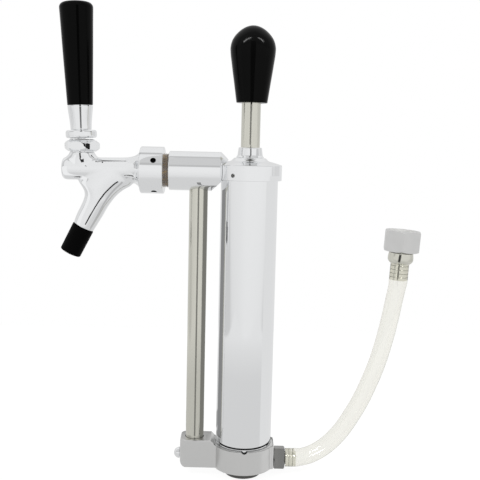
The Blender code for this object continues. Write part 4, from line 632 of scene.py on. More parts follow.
# %% Dressing
def dress(obj, material, body, slot, *nodes, angle=32.0, flats=True):
    choose(obj)
    bpy.ops.object.shade_smooth_by_angle(angle=math.radians(angle))
    if flats:
        add_modifier(obj, "WEIGHTED_NORMAL", keep_sharp=True, weight=50)
    obj.data.materials.clear()
    obj.data.materials.append(material)
    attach(obj, body)
    if nodes:
        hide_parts(*nodes)
    print(f"{obj.name}: {len(obj.data.polygons)} faces")
    return obj


LEFTWARDS = (0.0, -math.pi / 2, 0.0)
RIGHTWARDS = (0.0, math.pi / 2, 0.0)
TAP_AXIS = 254.4
ON_ARM = ((0, 0, TAP_AXIS), LEFTWARDS)


def repaint(obj, material, *bores):
    """Gives the faces of a piece that lie in a bore a second material. A bore is a point and
    a direction in mm, the radius, and how far it reaches from the point."""
    obj.data.materials.append(material)
    index = len(obj.data.materials) - 1
    count = 0
    for face in obj.data.polygons:
        middle = face.center / MM
        for point, way, radius, reach in bores:
            axis = Vector(way).normalized()
            offset = middle - Vector(point)
            along = offset.dot(axis)
            if 0 <= along <= reach and (offset - axis * along).length <= radius:
                face.material_index = index
                count += 1
    print(f"{obj.name}: {count} faces in {material.name}")


# %% [markdown]
# ## Black flags and pale cards
# Chrome needs dark things to mirror, or it looks like plaster. A photographer hangs narrow
# black cards, called flags, close in front of the metal: each becomes one dark line along a
# tube or an edge. They also stand for the dark gap that the lens looks through, which every
# upright tube mirrors at its middle. Pale cards hide the tent's grey panels from the tap, the
# bonnet and the barrel, and grey ones calm the boss and the spout. All are outlines of (x, z)
# points in mm, drawn flat at a depth in front of the pump, and the side ones are then turned
# by a quarter. A thin black ring gives the line where the barrel enters its cup. Only
# reflections see them: not the camera, and they cast no shadow. The flag in front of the
# tailpiece also shows through the clear hose, as the dark lines at its barbs.

# %% Flags
def ribbon(points, width):
    """The outline of a strip of this width along a line of (x, z) points."""
    line = [Vector(point) for point in points]
    left, right = [], []
    for number, point in enumerate(line):
        way = line[min(number + 1, len(line) - 1)] - line[max(number - 1, 0)]
        aside = Vector((-way.y, way.x)).normalized() * width / 2
        left.append(tuple(point + aside))
        right.append(tuple(point - aside))
    return left + right[::-1]


def upright(left, right, low, high):
    return [(left, low), (right, low), (right, high), (left, high)]


BLACK, DARK, GREY, WHITE = 0.015, 0.26, 0.38, 0.88
FLAGS = [
    ("riser_flag", -13.3, DARK, upright(-42.1, -38.9, 31, 246)),
    ("rod_flag", -15.7, DARK, upright(-2.5, 1.5, 276.5, 309)),
    ("gland_flag", -17.6, 0.1, upright(-0.2, 2.4, 268.5, 276.3)),
    ("ferrule_flag", -16.4, 0.16, [(-135.6, 286), (-132.0, 286), (-132.3, 303), (-135.9, 303)]),
    ("knob_flag", -27.0, BLACK, [(-4.3, 304), (4.1, 304), (4.6, 364), (-3.8, 364)]),
    ("handle_flag", -20.3, BLACK, [(-135.8, 304), (-131.4, 304), (-132.4, 384), (-136.8, 384)]),
    ("bonnet_flag", -20.8, BLACK, [
        (-138.9, 275.7), (-134.6, 275.9), (-134.0, 271.4), (-135.6, 272.4), (-136.4, 274.2),
    ]),
    ("tower_flag", -16.2, 0.03, ribbon(
        [(-137.2, 269.0), (-136.9, 261.4), (-135.4, 259.7), (-132.2, 260.0)], 2.4,
    )),
    ("spout_flag", -16.4, 0.03, ribbon([
        (-103.2, 240.0), (-106.0, 237.7), (-109.2, 234.2), (-112.7, 230.8), (-116.8, 228.0),
        (-122.9, 221.2), (-127.4, 214.1), (-131.2, 206.8),
    ], 2.6)),
    ("tail_flag", -19.0, 0.05, ribbon([(120.7, 193), (118.0, 177), (117.2, 162)], 6.0)),
    ("tap_card", -60.0, WHITE, [(-96, 278), (-96, 700), (-330, 700), (-190, 278)]),
    ("nose_card", -24.0, 0.95, [(-420, 170), (-150, 170), (-150, 262), (-420, 285)]),
    ("boss_card", 24.0, GREY, upright(-62, -24, 29, 44)),
]
SIDE_FLAGS = [
    ("side_flag", 31.0, DARK, upright(-8.6, 5.0, 31, 247)),
    ("arrow_flag", 121.0, BLACK, [(-13.7, 269.4), (-10.0, 270.2), (-10.0, 274.4), (-13.7, 275.4)]),
    ("bonnet_card", 101.0, 0.84, upright(-17, 7, 267.0, 281)),
    ("barrel_card", -29.0, 0.80, upright(-24, 24, -5, 252)),
    ("spout_card", 203.4, 0.50, [(-14.5, 162), (-10.5, 162), (-4.5, 116), (-9.0, 116)]),
]
SPOUT_CARD_LEAN = 29


def hang(card, level):
    """Gives a card its shade and hides it from everything but reflections."""
    paint = bpy.data.materials.new(card.name + "_paint")
    paint.use_nodes = True
    tree = paint.node_tree
    tree.nodes.clear()
    shine = add_node(tree, "Emission", {"Color": grey(level)})
    add_node(tree, "OutputMaterial", {"Surface": shine.outputs[0]})
    card.data.materials.append(paint)
    for sight in ("camera", "diffuse", "transmission", "shadow", "volume_scatter"):
        setattr(card, "visible_" + sight, False)


def flag(name, depth, level, outline, turn=ORIGIN):
    card = plate(name, outline, 0.1 * MM)
    bpy.ops.object.mode_set(mode="OBJECT")
    settle(card, (0, depth, 0))
    settle(card, turn=turn)
    hang(card, level)


for name, depth, level, outline in FLAGS:
    flag(name, depth, level, outline)
for name, depth, level, outline in SIDE_FLAGS:
    lean = SPOUT_CARD_LEAN if name == "spout_card" else 0
    flag(name, depth, level, outline, (math.radians(lean), 0.0, math.pi / 2))
bpy.data.objects["tail_flag"].visible_transmission = True
hang(lathe("joint_flag", upright(26.0, 26.2, 27.1, 28.5)), BLACK)
print("flags and cards:", len(FLAGS) + len(SIDE_FLAGS) + 1)

# %% [markdown]
# ## The hose
# The cord comes first. It is 14.3 mm outside with a 9.5 mm bore, 209 mm long, and it leaves
# the base to the right and stands in an arc by its own stiffness, as the photograph shows. Its
# ends swell where the barbs stretch them. A circle is drawn across the route at each point,
# and the circles are bridged into a tube. Solidify then gives it the real wall, so that light
# is bent at every surface that the real hose has.

# %% The hose's route
HOSE_ROUTE = [
    (35.9, 13.6), (40.7, 13.7), (45.6, 13.9), (50.8, 14.7), (57.3, 16.9), (65.6, 21.6),
    (74.1, 28.8), (82.3, 38.4), (90.2, 50.9), (98.1, 65.9), (105.4, 83.5), (111.1, 100.2),
    (115.6, 117.5), (119.2, 134.6), (122.15, 151.7), (124.5, 165.1), (125.09, 174.5),
    (125.67, 184.0),
]
HOSE_RADIUS = 7.15
HOSE_BORE = 4.75
HOSE_SEGMENTS = 48
INLET_GRIP = 9.0
TAIL_GRIP = 17.0
INLET_FADE, TAIL_FADE = 4.0, 5.0
SWELLING = 0.45

route = [Vector((x, 0.0, z)) for x, z in smooth_line(HOSE_ROUTE, 5)]
reach = [0.0]
for before, after in zip(route, route[1:]):
    reach.append(reach[-1] + (after - before).length)
HOSE_LENGTH = reach[-1]
print(f"hose: {HOSE_LENGTH:.1f} mm along its middle")


# %% The hose's tube
def swell(along):
    """How much the barbs widen the hose at a distance along it, in mm."""
    at_inlet = 1 - min(max((along - INLET_GRIP) / INLET_FADE, 0), 1)
    at_tail = 1 - min(max((HOSE_LENGTH - TAIL_GRIP - along) / TAIL_FADE, 0), 1)
    return SWELLING * max(at_inlet, at_tail)


circles = []
for number, point in enumerate(route):
    ahead = route[min(number + 1, len(route) - 1)] - route[max(number - 1, 0)]
    bpy.ops.mesh.primitive_circle_add(
        vertices=HOSE_SEGMENTS, radius=(HOSE_RADIUS + swell(reach[number])) * MM,
        location=point * MM, rotation=(0.0, math.atan2(ahead.x, ahead.z), 0.0),
    )
    circles.append(bpy.context.object)
choose(*circles)
bpy.ops.object.join()
hose = named("clear_hose")
edit_all()
bpy.ops.mesh.bridge_edge_loops()
close_mesh()
add_modifier(hose, "SOLIDIFY", thickness=(HOSE_RADIUS - HOSE_BORE) * MM, offset=-1.0)
dress(hose, vinyl, "pump_frame", "clear_vinyl", "beer_hose", angle=60.0, flats=False)

# %% [markdown]
# ## The hose's two ends
# At the base a hexagonal inlet with three barbs is screwed into the casting. At the far end a
# barbed tailpiece carries a bulged collar and a flange, and the flange keeps a hexagonal nut
# captive that can turn freely. A barb is a shallow cone that lets the hose slide on and not
# off. The barbs are as thick as the stretched bore, so no air lies between them and the vinyl,
# and the hose magnifies them to its full width.

# %% Barbs
BARB_TOP = 5.55
BARB_ROOT = 5.25
BARB_PITCH = 3.1


def barbs(start, count, way):
    points = []
    for k in range(count):
        foot = start + way * k * BARB_PITCH
        points += [
            (BARB_TOP - 0.1, foot + way * 0.38), (BARB_TOP, foot + way * 0.5),
            (BARB_ROOT, foot + way * 2.95),
        ]
    return points


def hexagon(name, across, low, high, face_radius, slope, corner_angle):
    """A hexagonal bar whose corners a lathe has chamfered at both ends."""
    choose()
    bpy.ops.mesh.primitive_cylinder_add(
        vertices=6, radius=across / math.sqrt(3) * MM, depth=(high - low) * MM,
        location=(0, 0, (low + high) / 2 * MM), rotation=(0, 0, math.radians(corner_angle - 90)),
    )
    bar = named(name)
    far = across / math.sqrt(3) + 1
    drop = (far - face_radius) * math.tan(math.radians(slope))
    limit = lathe("chamfer", [
        (0, low), (face_radius, low), (far, low + drop), (far, high - drop),
        (face_radius, high), (0, high),
    ])
    return combine(bar, "INTERSECT", limit)


INLET_AXIS = 13.6
ON_INLET = ((0, 0, INLET_AXIS), RIGHTWARDS)
inlet = hexagon("inlet_hexagon", 17.0, 25.9, 35.2, 8.4, 28.0, 22.0)
soften(inlet, 0.15, 2)
settle(inlet, *ON_INLET)
stem = lathe("inlet_stem", [
    (0, 14.6), (4.6, 14.6), (4.8, 14.9), (4.8, 30.0), (BARB_ROOT, 30.0), (BARB_ROOT, 35.5),
    *barbs(35.5, 3, 1), (3.6, 44.8), (0, 44.8),
], *ON_INLET)
combine(inlet, "UNION", stem)
cut(inlet, drill("inlet_bore", 0, [(2.8, 48)], *ON_INLET, 48))
dress(inlet, nickel, "pump_frame", "dark_nickel", "inlet_barb")
repaint(inlet, stainless, ((35.4, 0, INLET_AXIS), (1, 0, 0), 6.5, 12.0))

# %% The captive nut and its tailpiece
END_PLACE = (125.67, 0.0, 184.0)
END_TURN = (0.0, math.radians(3.5), 0.0)

tailpiece = lathe("barbed_tailpiece", [
    (2.8, 14.7), (2.8, -15.5), *reversed(barbs(0.0, 5, -1)), (BARB_ROOT, 0.3), (5.2, 0.3),
    (5.2, 8.5), (7.9, 8.5), (7.9, 12.5), (10.4, 12.5), (10.4, 15.0), (2.8, 15.0),
], END_PLACE, END_TURN)
dress(tailpiece, stainless, "pump_frame", "stainless_tube", "hose_tailpiece")
collar = lathe("bulged_collar", [
    (5.5, 0.3), (7.75, 0.3), (7.75, -1.2), (8.2, -1.4),
    *smooth_line([
        (8.5, -1.2), (9.8, 0.2), (10.35, 1.7), (10.4, 3.0), (10.3, 4.4), (10.1, 6.0), (9.9, 7.3),
    ], 4),
    (9.7, 7.5), (9.6, 8.5), (5.5, 8.5),
], END_PLACE, END_TURN)
dress(collar, stainless, "pump_frame", "stainless_tube", "tailpiece_collar")
hose_nut = hexagon("hose_hexagon_nut", 27.5, 8.5, 25.8, 13.75, 28.0, 263.0)
cut(hose_nut, drill("nut_room", 5.8, [(8.2, 12.2), (11.1, 29.2)]))
soften(hose_nut, 0.3, 3, 25)
settle(hose_nut, (-0.3, 0, 0))
settle(hose_nut, END_PLACE, END_TURN)
dress(hose_nut, satin, "hose_swivel_nut", "satin_casting", "hose_nut")
END_WAY = (math.sin(END_TURN[1]), 0, math.cos(END_TURN[1]))
# The collar's top groove under the nut gets painted shade: a near-black ring.
repaint(collar, painted_shade_bore, (Vector(END_PLACE) + 7.55 * Vector(END_WAY), END_WAY, 9.75, 2.0))
# The nut's inside gets the dull finish whose near-white colour is painted light.
repaint(hose_nut, dull_zinc_painted_light, (END_PLACE, END_WAY, 11.5, 26.0))

# %% [markdown]
# ## The barrel and its cap
# The barrel is a plain tube, polished and chromed outside. The cap is turned from solid: a
# straight rim, then a shallow cone that rises to the gland nut with a small fillet.

# %% Barrel and cap
SCREW_HEIGHT = 252.2
SCREW_TURN = (0.0, math.pi / 2, math.radians(-120.8))

barrel = lathe("chromed_barrel", [
    (21.8, 22.9), (22.1, 22.6), (22.85, 22.6), (23.15, 22.9), (23.15, 257.7), (22.85, 258.0),
    (22.1, 258.0), (21.8, 257.7),
], steps=128)
cut(barrel, drill("screw_hole", 19.0, [(2.3, 29.0)], *ON_ARM, 32))
dress(barrel, chrome, "pump_frame", "chrome_plate", "pump_barrel")

cap = lathe("turned_cap", [
    (23.3, 248.1), (25.7, 248.1), *arc((25.7, 248.5), 0.4, -90, 0, 4),
    *arc((25.4, 259.9), 0.7, 0, 78, 6),
    *smooth_line([
        (25.1, 260.7), (20.0, 262.3), (15.6, 263.5), (13.8, 264.9), (12.9, 265.75), (12.2, 265.9),
    ], 4),
    (11.2, 265.9), (11.0, 265.7), (11.0, 258.3), (23.3, 258.3),
], steps=128)
cut(
    cap,
    drill("screw_hole", 19.0, [(2.3, 29.0)], *ON_ARM, 32),
    lathe("set_screw_hole", [(0, 20.0), (1.6, 20.0), (1.6, 25.7), (1.75, 26.1), (0, 26.1)],
          (0, 0, SCREW_HEIGHT), SCREW_TURN, 32),
)
dress(cap, chrome, "pump_frame", "chrome_plate", "top_cap")

# %% Gland nut
gland = lathe("gland_cone", [
    (8.0, 274.2), (8.0, 272.6), (9.5, 272.6), (9.5, 259.0), (10.7, 259.0), (10.7, 266.2),
    (11.1, 266.2), (11.3, 266.5), (10.3, 267.9), (10.2, 268.2), (9.5, 273.2),
    *arc((8.7, 273.6), 0.8, 0, 90, 6), (8.2, 274.4),
], steps=96)
dress(gland, chrome, "pump_frame", "chrome_plate", "gland_nut")

# %% [markdown]
# ## The pump rod and knob
# The rod is a drawn stainless tube from the piston up into the knob. The knob is moulded and
# pear-shaped: widest two thirds of the way up, with a slim straight-sided neck.

# %% Rod and knob
rod_low, rod_high = (corner.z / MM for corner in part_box("pump_rod"))
rod = lathe("drawn_rod", [
    (6.3, rod_low), (7.6, rod_low), (7.7, rod_low + 0.1), (7.7, rod_high - 0.1),
    (7.6, rod_high), (6.3, rod_high),
])
dress(rod, stainless, "pump_handle", "stainless_tube", "pump_rod")

KNOB_SECTION = [
    (12.6, 310.6), (13.1, 314.0), (14.75, 325.6), (16.0, 333.8), (17.15, 342.0), (17.75, 346.1),
    (18.15, 350.6), (18.1, 353.5), (17.4, 356.8), (16.05, 360.0), (13.65, 363.3), (10.2, 366.6),
    (6.5, 368.9), (2.8, 370.2), (0.0, 370.4),
]
knob = lathe("pear_knob", [
    (0, rod_high + 0.3), (8.0, rod_high + 0.3), (8.0, 309.7), *arc((11.9, 310.4), 0.7, -90, -10, 5),
    *smooth_line(KNOB_SECTION, 7),
], (0.4, 0, 0.2))
dress(knob, gloss_black, "pump_handle", "black_plastic", "pump_knob")
black_pieces.objects.link(knob)

# %% [markdown]
# ## The riser
# A slim stainless tube brings the beer up from the base to the arm.

# %% Riser tube
RISER_PLACE = (-41.2, 0, 0)
riser = lathe("riser_pipe", [
    (6.4, 19.9), (7.45, 19.9), (7.55, 20.0), (7.55, 247.4), (7.45, 247.5), (6.4, 247.5),
], RISER_PLACE)
dress(riser, stainless, "pump_frame", "stainless_tube", "riser_tube")

# %% [markdown]
# ## The delivery arm
# The arm is a thick turned bar that lies across the cap and is hollowed to fit round it. Its
# end above the cap is a cone, and its underside is cut away beside the barrel.

# %% Arm
arm = lathe("delivery_bar", [
    (0, 17.6), (9.9, 17.6), *smooth_line([(10.1, 17.6), (15.4, 22.9), (15.8, 23.7)], 4),
    *arc((14.9, 64.3), 0.9, 0, 90, 6), (0, 65.2),
], *ON_ARM, 128)
relief = block("relief", [(-36.9, 232.9), (-17.1, 252.1), (-17.1, 232.9)], -20.0, 20.0)
cap_room = lathe("cap_room", [
    (0, 247.8), (26.3, 247.8), (26.3, 259.6), (25.3, 260.6), (14.9, 264.7), (12.2, 266.2),
    (0, 266.2),
], steps=128)
cut(
    arm, relief, cap_room,
    drill("barrel_room", 235, [(23.3, 251)], fine=128),
    drill("arm_bore", 41.2, [(5.0, 55.9), (14.05, 66.0)], *ON_ARM),
    drill("riser_room", 236, [(7.9, 247.8), (6.4, 256.0)], RISER_PLACE),
    drill("arm_screw_room", 15, [(2.3, 32.2)], *ON_ARM, 32),
)
dress(arm, chrome, "pump_frame", "chrome_plate", "delivery_arm")

# %% [markdown]
# ## Threaded shank and coupling nut
# A dark brass thread shows between the arm and the nut. The nut is round, with four small
# holes for a hook spanner, and it pulls the tap against the shank.

# %% Shank and nut
PITCH = 1.41
thread = [(4.5, 56.2), (13.6, 56.2), (13.75, 56.4)]
for turn_number in range(9):
    foot = 56.6 + turn_number * PITCH
    thread += [(13.75, foot), (13.0, foot + 0.62), (13.0, foot + 0.78), (13.75, foot + 1.33)]
shank = lathe("threaded_shank", [
    *thread, (13.75, 69.5), (12.3, 69.5), (12.3, 80.2), (4.5, 80.2),
], *ON_ARM)
dress(shank, worn_brass, "pump_frame", "turned_brass", "tap_shank")

NUT_LOW, NUT_HIGH = 69.4, 88.5
nut = lathe("round_coupling_nut", [
    (12.6, NUT_LOW), (18.1, NUT_LOW), *arc((18.15, NUT_LOW + 0.8), 0.8, -90, 0, 5),
    *arc((17.75, NUT_HIGH - 1.2), 1.2, 0, 90, 6), (14.6, NUT_HIGH), (14.6, 77.3), (12.6, 77.3),
], *ON_ARM, 128)
HOLES_MIDDLE = (-76.7, 0, TAP_AXIS)
FIRST_HOLE = 26.0
hole_lifts = [math.radians(FIRST_HOLE + 90.0 * quarter) for quarter in range(4)]
for lift in hole_lifts:
    cut(nut, lathe(
        "spanner_hole", [(0, 15.6), (2.0, 15.6), (2.0, 18.4), (2.3, 18.9), (2.3, 21.0), (0, 21.0)],
        HOLES_MIDDLE, (math.pi / 2 - lift, 0, 0), 32,
    ))
dress(nut, chrome, "pump_frame", "chrome_plate", "coupling_nut")
# The walls of the spanner holes get painted shade: a near-black finish.
repaint(nut, painted_shade_bore, *[
    (HOLES_MIDDLE, (0, -math.cos(lift), math.sin(lift)), 2.7, 18.6) for lift in hole_lifts
])

# %% [markdown]
# ## The tap's body
# The body is one brass casting: a turned barrel from the nut to the rounded nose, a short
# tower that holds the lever's ball, and a spout that leaves it downwards. The barrel is spun,
# spout and tower are rings that are drawn out one from another, and all are melted together,
# so that the joins get the soft fillets of a casting.

# %% Rings drawn out one from another
def drawn_out(name, rings, segments=64):
    """rings: (centre x, height, half length, half width) in mm. Each ring is extruded from the
    one before, moved and resized, and both ends are filled."""
    x0, z0, a0, b0 = rings[0]
    choose()
    bpy.ops.mesh.primitive_circle_add(
        vertices=segments, radius=MM, fill_type="NGON", location=(x0 * MM, 0, z0 * MM),
    )
    made = named(name)
    edit_all()
    bpy.ops.transform.resize(value=(a0, b0, 1), center_override=(x0 * MM, 0, z0 * MM))
    for (xa, za, aa, ba), (xb, zb, ab, bb) in zip(rings, rings[1:]):
        bpy.ops.mesh.extrude_region_move(
            TRANSFORM_OT_translate={"value": ((xb - xa) * MM, 0, (zb - za) * MM)},
        )
        bpy.ops.transform.resize(value=(ab / aa, bb / ba, 1), center_override=(xb * MM, 0, zb * MM))
    close_mesh()
    return made


# %% Tap body
TOWER_X = -136.1
TOWER_PLACE = (TOWER_X, 0, 0)
SPOUT_DROP = 53.4
SPOUT_RADIUS = 8.7
SPOUT_TILT = math.radians(26.9)
SPOUT_UP = Vector((math.sin(SPOUT_TILT), 0.0, math.cos(SPOUT_TILT)))
SLEEVE_TOP = Vector((TOWER_X + 25.1, 0.0, TAP_AXIS)) - SPOUT_UP * SPOUT_DROP
SPOUT_TURN_UP = (0.0, SPOUT_TILT, 0.0)
SPOUT_TURN_DOWN = (0.0, math.pi + SPOUT_TILT, 0.0)
SPOUT_SHARES = [
    (-0.25, 0.80, 0.80, 0.80), (-0.02, 0.80, 0.80, 0.80), (0.0, 0.97, 0.97, 0.97),
    (0.02, 1.0, 1.0, 1.0), (0.12, 1.08, 1.05, 1.02), (0.29, 1.10, 1.13, 1.05),
    (0.37, 1.13, 1.15, 1.07), (0.45, 1.24, 1.18, 1.09), (0.51, 1.50, 1.23, 1.11),
    (0.56, 1.98, 1.28, 1.12), (0.60, 2.37, 1.33, 1.13), (0.66, 2.38, 1.42, 1.13),
    (0.75, 2.33, 1.63, 1.12), (0.83, 2.28, 1.90, 1.11), (0.89, 2.22, 2.16, 1.10),
    (0.94, 2.15, 2.25, 1.09), (1.0, 2.0, 2.1, 1.08),
]
TOWER_SHARES = [
    (0.0, 1.35, 0.89), (0.35, 1.38, 0.91), (0.58, 1.38, 0.93), (0.70, 1.24, 0.95),
    (0.80, 1.10, 0.98), (0.92, 1.0, 1.0), (1.0, 1.0, 1.0),
]
TOWER_RADIUS = 10.1
TOWER_HEIGHT = 13.6
JOINS_MIDDLE = Vector((TOWER_X + 24, 0, TAP_AXIS - 12))
JOINS_REACH, JOINS_FADE = 27, 10

tap = lathe("tap_casting", [
    (0, 82.2), (14.3, 82.2), (14.3, 88.8), (15.3, 88.8),
    *smooth_line([
        (15.1, 89.0), (12.9, 90.7), (11.4, 92.9), (10.3, 96.5), (9.7, 100.8), (9.3, 118.0),
        (9.1, 136.1),
    ], 5),
    *smooth_line([
        (9.2, 148.0), (9.0, 149.4), (8.2, 150.9), (6.8, 151.7), (3.6, 152.2), (0, 152.35),
    ], 4),
], *ON_ARM)
spout = drawn_out("spout", [
    (SPOUT_RADIUS * (back - front) / 2, SPOUT_DROP * height,
     SPOUT_RADIUS * (back + front) / 2, SPOUT_RADIUS * side)
    for height, front, back, side in smooth_line(SPOUT_SHARES, 3)
])
settle(spout, SLEEVE_TOP, SPOUT_TURN_UP)
tower = drawn_out("tower", [
    (0, TOWER_HEIGHT * height, TOWER_RADIUS * length, TOWER_RADIUS * width)
    for height, length, width in smooth_line(TOWER_SHARES, 3)
])
settle(tower, (TOWER_X, 0, TAP_AXIS))
melt(tap, 0.45, 24, spout, tower)
joins = tap.vertex_groups.new(name="joins")
for vertex in tap.data.vertices:
    away = (vertex.co / MM - JOINS_MIDDLE).length
    joins.add([vertex.index], min(max((JOINS_REACH - away) / JOINS_FADE, 0), 1), "REPLACE")
add_modifier(tap, "SMOOTH", factor=0.5, iterations=90, vertex_group="joins")
top_thread = lathe("tower_thread", [
    (0, 262), (9.5, 262), (9.5, 272.2), (9.2, 272.5), (0, 272.5),
], TOWER_PLACE)
combine(tap, "UNION", top_thread)
cut(
    tap,
    drill("tower_bore", 255.6, [(5.8, 259.3), (8.0, 276)], TOWER_PLACE),
    drill("main_bore", 148.5, [(4.6, 118.0), (6.0, 93.0), (9.0, 80.0)], *ON_ARM),
    drill("spout_bore", -52.0, [(5.2, 26.0)], SLEEVE_TOP, SPOUT_TURN_DOWN),
)
dress(tap, cast_chrome, "pump_frame", "chrome_plate", "tap_body", angle=40.0, flats=False)

# %% Spout sleeve
sleeve = lathe("black_spout_sleeve", [
    (7.2, 0.3), (8.7, 0.3), (8.95, 0.6), (8.75, 23.1), (8.45, 23.7), (7.2, 23.9),
], SLEEVE_TOP, SPOUT_TURN_DOWN)
spout_tip = lathe("spout_tip", [
    (5.2, -3.0), (6.9, -3.0), (6.9, 22.0), (6.4, 22.5), (5.2, 22.5),
], SLEEVE_TOP, SPOUT_TURN_DOWN)
dress(spout_tip, cast_chrome, "pump_frame", "chrome_plate")
dress(sleeve, matte_black, "pump_frame", "black_plastic", "spout_sleeve")

# %% [markdown]
# ## Bonnet, lever and handle
# A hexagonal bonnet screws onto the tower over the lever's ball. Above it the lever is turned
# in one piece: ball, neck, a round collar and a stud for the handle. The chromed ferrule and
# the black handle sit on the stud, and a button closes the handle's top.

# %% Bonnet
bonnet = hexagon("hexagon_bonnet", 25.8, 268.3, 277.1, 11.1, 36.0, 292.0)
combine(bonnet, "UNION", lathe("bonnet_crown", [
    (0, 274), (10.3, 274), (10.1, 277.6), (9.3, 278.2), (0, 278.2),
]))
cut(bonnet, lathe("bonnet_bore", [
    (0, 265), (9.8, 265), (9.8, 272.8), (7.4, 272.8), (8.6, 277.1), (9.1, 279), (0, 279),
]))
soften(bonnet, 0.25, 3, 25)
settle(bonnet, TOWER_PLACE)
dress(bonnet, chrome, "pump_frame", "chrome_plate", "bonnet")

# %% Lever
PIVOT = (TOWER_X, 0.0, TAP_AXIS + 10.4)
LEVER_TURN = (0.0, math.radians(-2.25), 0.0)
BALL_RADIUS = 6.35
ball_start = math.degrees(math.asin(-6.03 / BALL_RADIUS))
ball_end = math.degrees(math.asin(5.48 / BALL_RADIUS))
lever = lathe("lever_with_ball", [
    *arc((0, -10.41), 2.4, -90, 40, 8), (2.0, -8.2),
    *arc((0, 0), BALL_RADIUS, ball_start, ball_end, 14),
    (3.2, 16.3), (10.2, 16.3), (10.2, 14.3), *arc((10.4, 14.5), 0.4, -150, -90, 2),
    *arc((10.55, 15.9), 1.8, -90, 0, 6), *arc((10.55, 18.6), 1.8, 0, 90, 6),
    (4.7, 20.4), (4.7, 35.4), (0, 35.4),
], PIVOT, LEVER_TURN)
dress(lever, chrome, "tap_handle_lever", "chrome_plate", "tap_lever")

# %% Ferrule, handle and button
ferrule = lathe("turned_ferrule", [
    (0, 37.2), (5.0, 37.2), (5.0, 20.7), (8.1, 20.7),
    *smooth_line([
        (8.3, 21.0), (8.45, 24.0), (8.75, 27.5), (9.3, 32.4), (9.8, 36.5), (10.05, 39.4),
    ], 5),
    (9.9, 40.0), (6.0, 40.0), (6.0, 58.0), (0, 58.0),
], PIVOT, LEVER_TURN)
dress(ferrule, chrome, "tap_handle_lever", "chrome_plate", "handle_ferrule")

handle = lathe("black_tap_handle", [
    (0, 58.3), (6.3, 58.3), (6.3, 40.3), (9.6, 40.3), *arc((9.6, 40.9), 0.6, -90, -5, 4),
    *smooth_line([(10.2, 41.2), (11.0, 60.0), (11.95, 82.0), (12.8, 104.0), (13.35, 116.3)], 4),
    *arc((9.35, 116.6), 4.0, 0, 88, 12), (9.3, 120.5), (9.3, 118.2), (0, 118.2),
], PIVOT, LEVER_TURN)
dress(handle, gloss_black, "tap_handle_lever", "black_plastic", "tap_handle")
button = lathe("handle_button", [
    (0, 118.5), (9.1, 118.5),
    *smooth_line([(9.1, 120.5), (8.8, 120.9), (7.4, 121.2), (3.7, 121.45), (0, 121.5)], 4),
], PIVOT, LEVER_TURN)
dress(button, chrome, "tap_handle_lever", "chrome_plate", "handle_insert")

# %% [markdown]
# ## The base casting
# The base holds everything: a cup for the barrel, a taller boss round the riser and a bar that
# joins them. Seen from above the bar's free end is rounded. Plan and side view are drawn as
# two blocks, their common part is kept, and the cup is melted onto it.

# %% Base casting
PLUG_AXIS = 15.9

side_view = block("side_view", [
    *arc((-48.0, 12.3), 5.0, 270, 180, 8), *arc((-51.7, 29.8), 1.3, 180, 90, 6),
    (-27.1, 31.1), (-23.3, 27.2), (25.6, 27.2), (25.6, 7.3),
], -14.0, 14.0)
plan_view = block("plan_view", [
    (25.6, -11.0), (25.6, 11.0), *arc((-48.0, 6.0), 5.0, 90, 180, 8),
    *arc((-48.0, -6.0), 5.0, 180, 270, 8),
], 0.0, 40.0, (math.pi / 2, 0, 0))
casting = combine(side_view, "INTERSECT", plan_view)
casting.name = "base_with_cup"
cup = lathe("cup", [
    (0, 6.8), (24.7, 6.8), (25.3, 7.4), (25.3, 26.8), (24.9, 27.2), (0, 27.2),
], steps=128)
melt(casting, 0.45, 6, cup)
cut(
    casting,
    drill("barrel_socket", 20.0, [(23.3, 34.0)], fine=128),
    drill("chamber", 4.0, [(12.0, 9.75)]),
    drill("riser_socket", 15.9, [(6.4, 19.6), (7.9, 34.0)], RISER_PLACE),
    drill("plug_hole", -8, [(2.5, 49.0), (3.4, 56.0)], (0, 0, PLUG_AXIS), LEFTWARDS, 48),
    drill("inlet_hole", -8, [(2.5, 14.3), (5.1, 29.0)], *ON_INLET, 48),
    drill("rim_notch", 20.3, [(2.6, 28.3)], (1.0, 0, 28.2), (math.pi / 2, 0, 0), 48),
)
dress(casting, satin, "pump_frame", "satin_casting", "base_casting", angle=40.0, flats=False)
# The barrel socket, the riser socket and the rim notch get painted shade: near-black walls.
repaint(
    casting, painted_shade_bore, ((0, 0, 20.2), (0, 0, 1), 23.5, 6.6),
    ((RISER_PLACE[0], 0, 19.7), (0, 0, 1), 8.0, 10.7), ((1.0, -30, 28.2), (0, 1, 0), 2.7, 9),
)

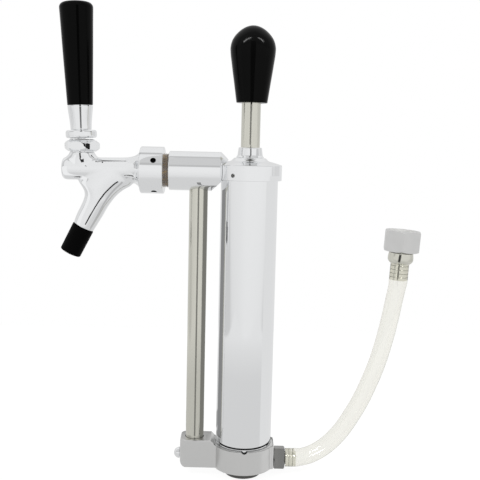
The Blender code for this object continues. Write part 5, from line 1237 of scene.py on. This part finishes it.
# %% Plug, spigot and gasket
plug = lathe("round_plug", [
    (0, -3.6), (3.1, -3.6), (3.1, 0.3), (4.4, 0.3), (4.7, 0.5),
    *arc((0, 0.5), 4.65, 5, 90, 12),
], (-53.3, 0, PLUG_AXIS), LEFTWARDS, 64)
dress(plug, chrome, "pump_frame", "chrome_plate", "channel_plug")
spigot = lathe("coupler_stub", [
    (14.7, 0), (15.3, 0.6), (15.3, 7.0), (11.7, 7.0), (11.7, 9.3), (8.4, 9.3), (8.4, 7.4), (3.6, 7.4),
    (3.6, 6.2), (6.8, 6.2), (6.8, 0), (9.0, 0), (9.0, 2.1), (14.4, 2.1), (14.4, 0),
])
dress(spigot, dark_nickel, "pump_frame", "dark_nickel", "coupler_spigot")
gasket = lathe("coupler_gasket_ring", [
    (9.3, 0.2), (9.5, 0), (13.9, 0), (14.1, 0.2), (14.1, 1.8), (9.3, 1.8),
])
dress(gasket, rubber, "pump_frame", "black_rubber", "coupler_gasket")

# %% [markdown]
# ## The check valve's spring
# It is wound from 0.4 mm wire in two turns. A circle of the wire's size is swept along a screw
# line round the valve's axis. In the pump the poppet comes down on it and flattens it as the
# valve opens; here it keeps the height that the frame gives it.

# %% Valve spring
WIRE_RADIUS = 0.2
WIRE_SIDES = 10
WOUND_RADIUS = 2.8
WOUND_TURNS = 2
spring_low, spring_high = (corner.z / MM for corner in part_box("check_valve_spring"))
spring_height = spring_high - spring_low
choose()
bpy.ops.mesh.primitive_circle_add(
    vertices=WIRE_SIDES, radius=WIRE_RADIUS * MM, rotation=(math.pi / 2, 0, 0),
    location=(WOUND_RADIUS * MM, 0, (spring_low + WIRE_RADIUS) * MM),
)
spring = named("wound_valve_spring")
add_modifier(
    spring, "SCREW", angle=2 * math.pi, iterations=WOUND_TURNS, steps=40, render_steps=40,
    screw_offset=(spring_height - 2 * WIRE_RADIUS) / WOUND_TURNS * MM,
)
edit_all()
bpy.ops.mesh.fill_holes(sides=WIRE_SIDES)
close_mesh()
dress(spring, spring_steel, "pump_frame", "spring_steel", "check_valve_spring", flats=False)
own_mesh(spring)
print(f"spring: {spring_height:.2f} mm high")

# %% [markdown]
# ## The parts that stay as they are
# Seals, screws, bearings and the valve's inner parts keep their CAD shape and only get their
# finish.

# %% Inner parts
INNER = {
    stainless: ["arm_screw", "piston_washer"],
    brass: ["valve_shaft", "shaft_nut", "piston_body", "piston_nut", "check_valve_retainer"],
    spring_steel: ["snap_ring"],
    nylon: ["friction_ring", "rod_bushing"],
    rubber: [
        "ball_washer", "barrel_seal", "check_valve_poppet", "nut_washer", "piston_cup",
        "riser_lower_seal", "riser_upper_seal", "rod_wiper", "seat_washer", "tap_washer",
    ],
    nickel: ["cap_set_screw"],
}
for material, names in INNER.items():
    for name in names:
        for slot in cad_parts[name].material_slots:
            slot.material = material
print("inner parts:", sum(len(names) for names in INNER.values()))
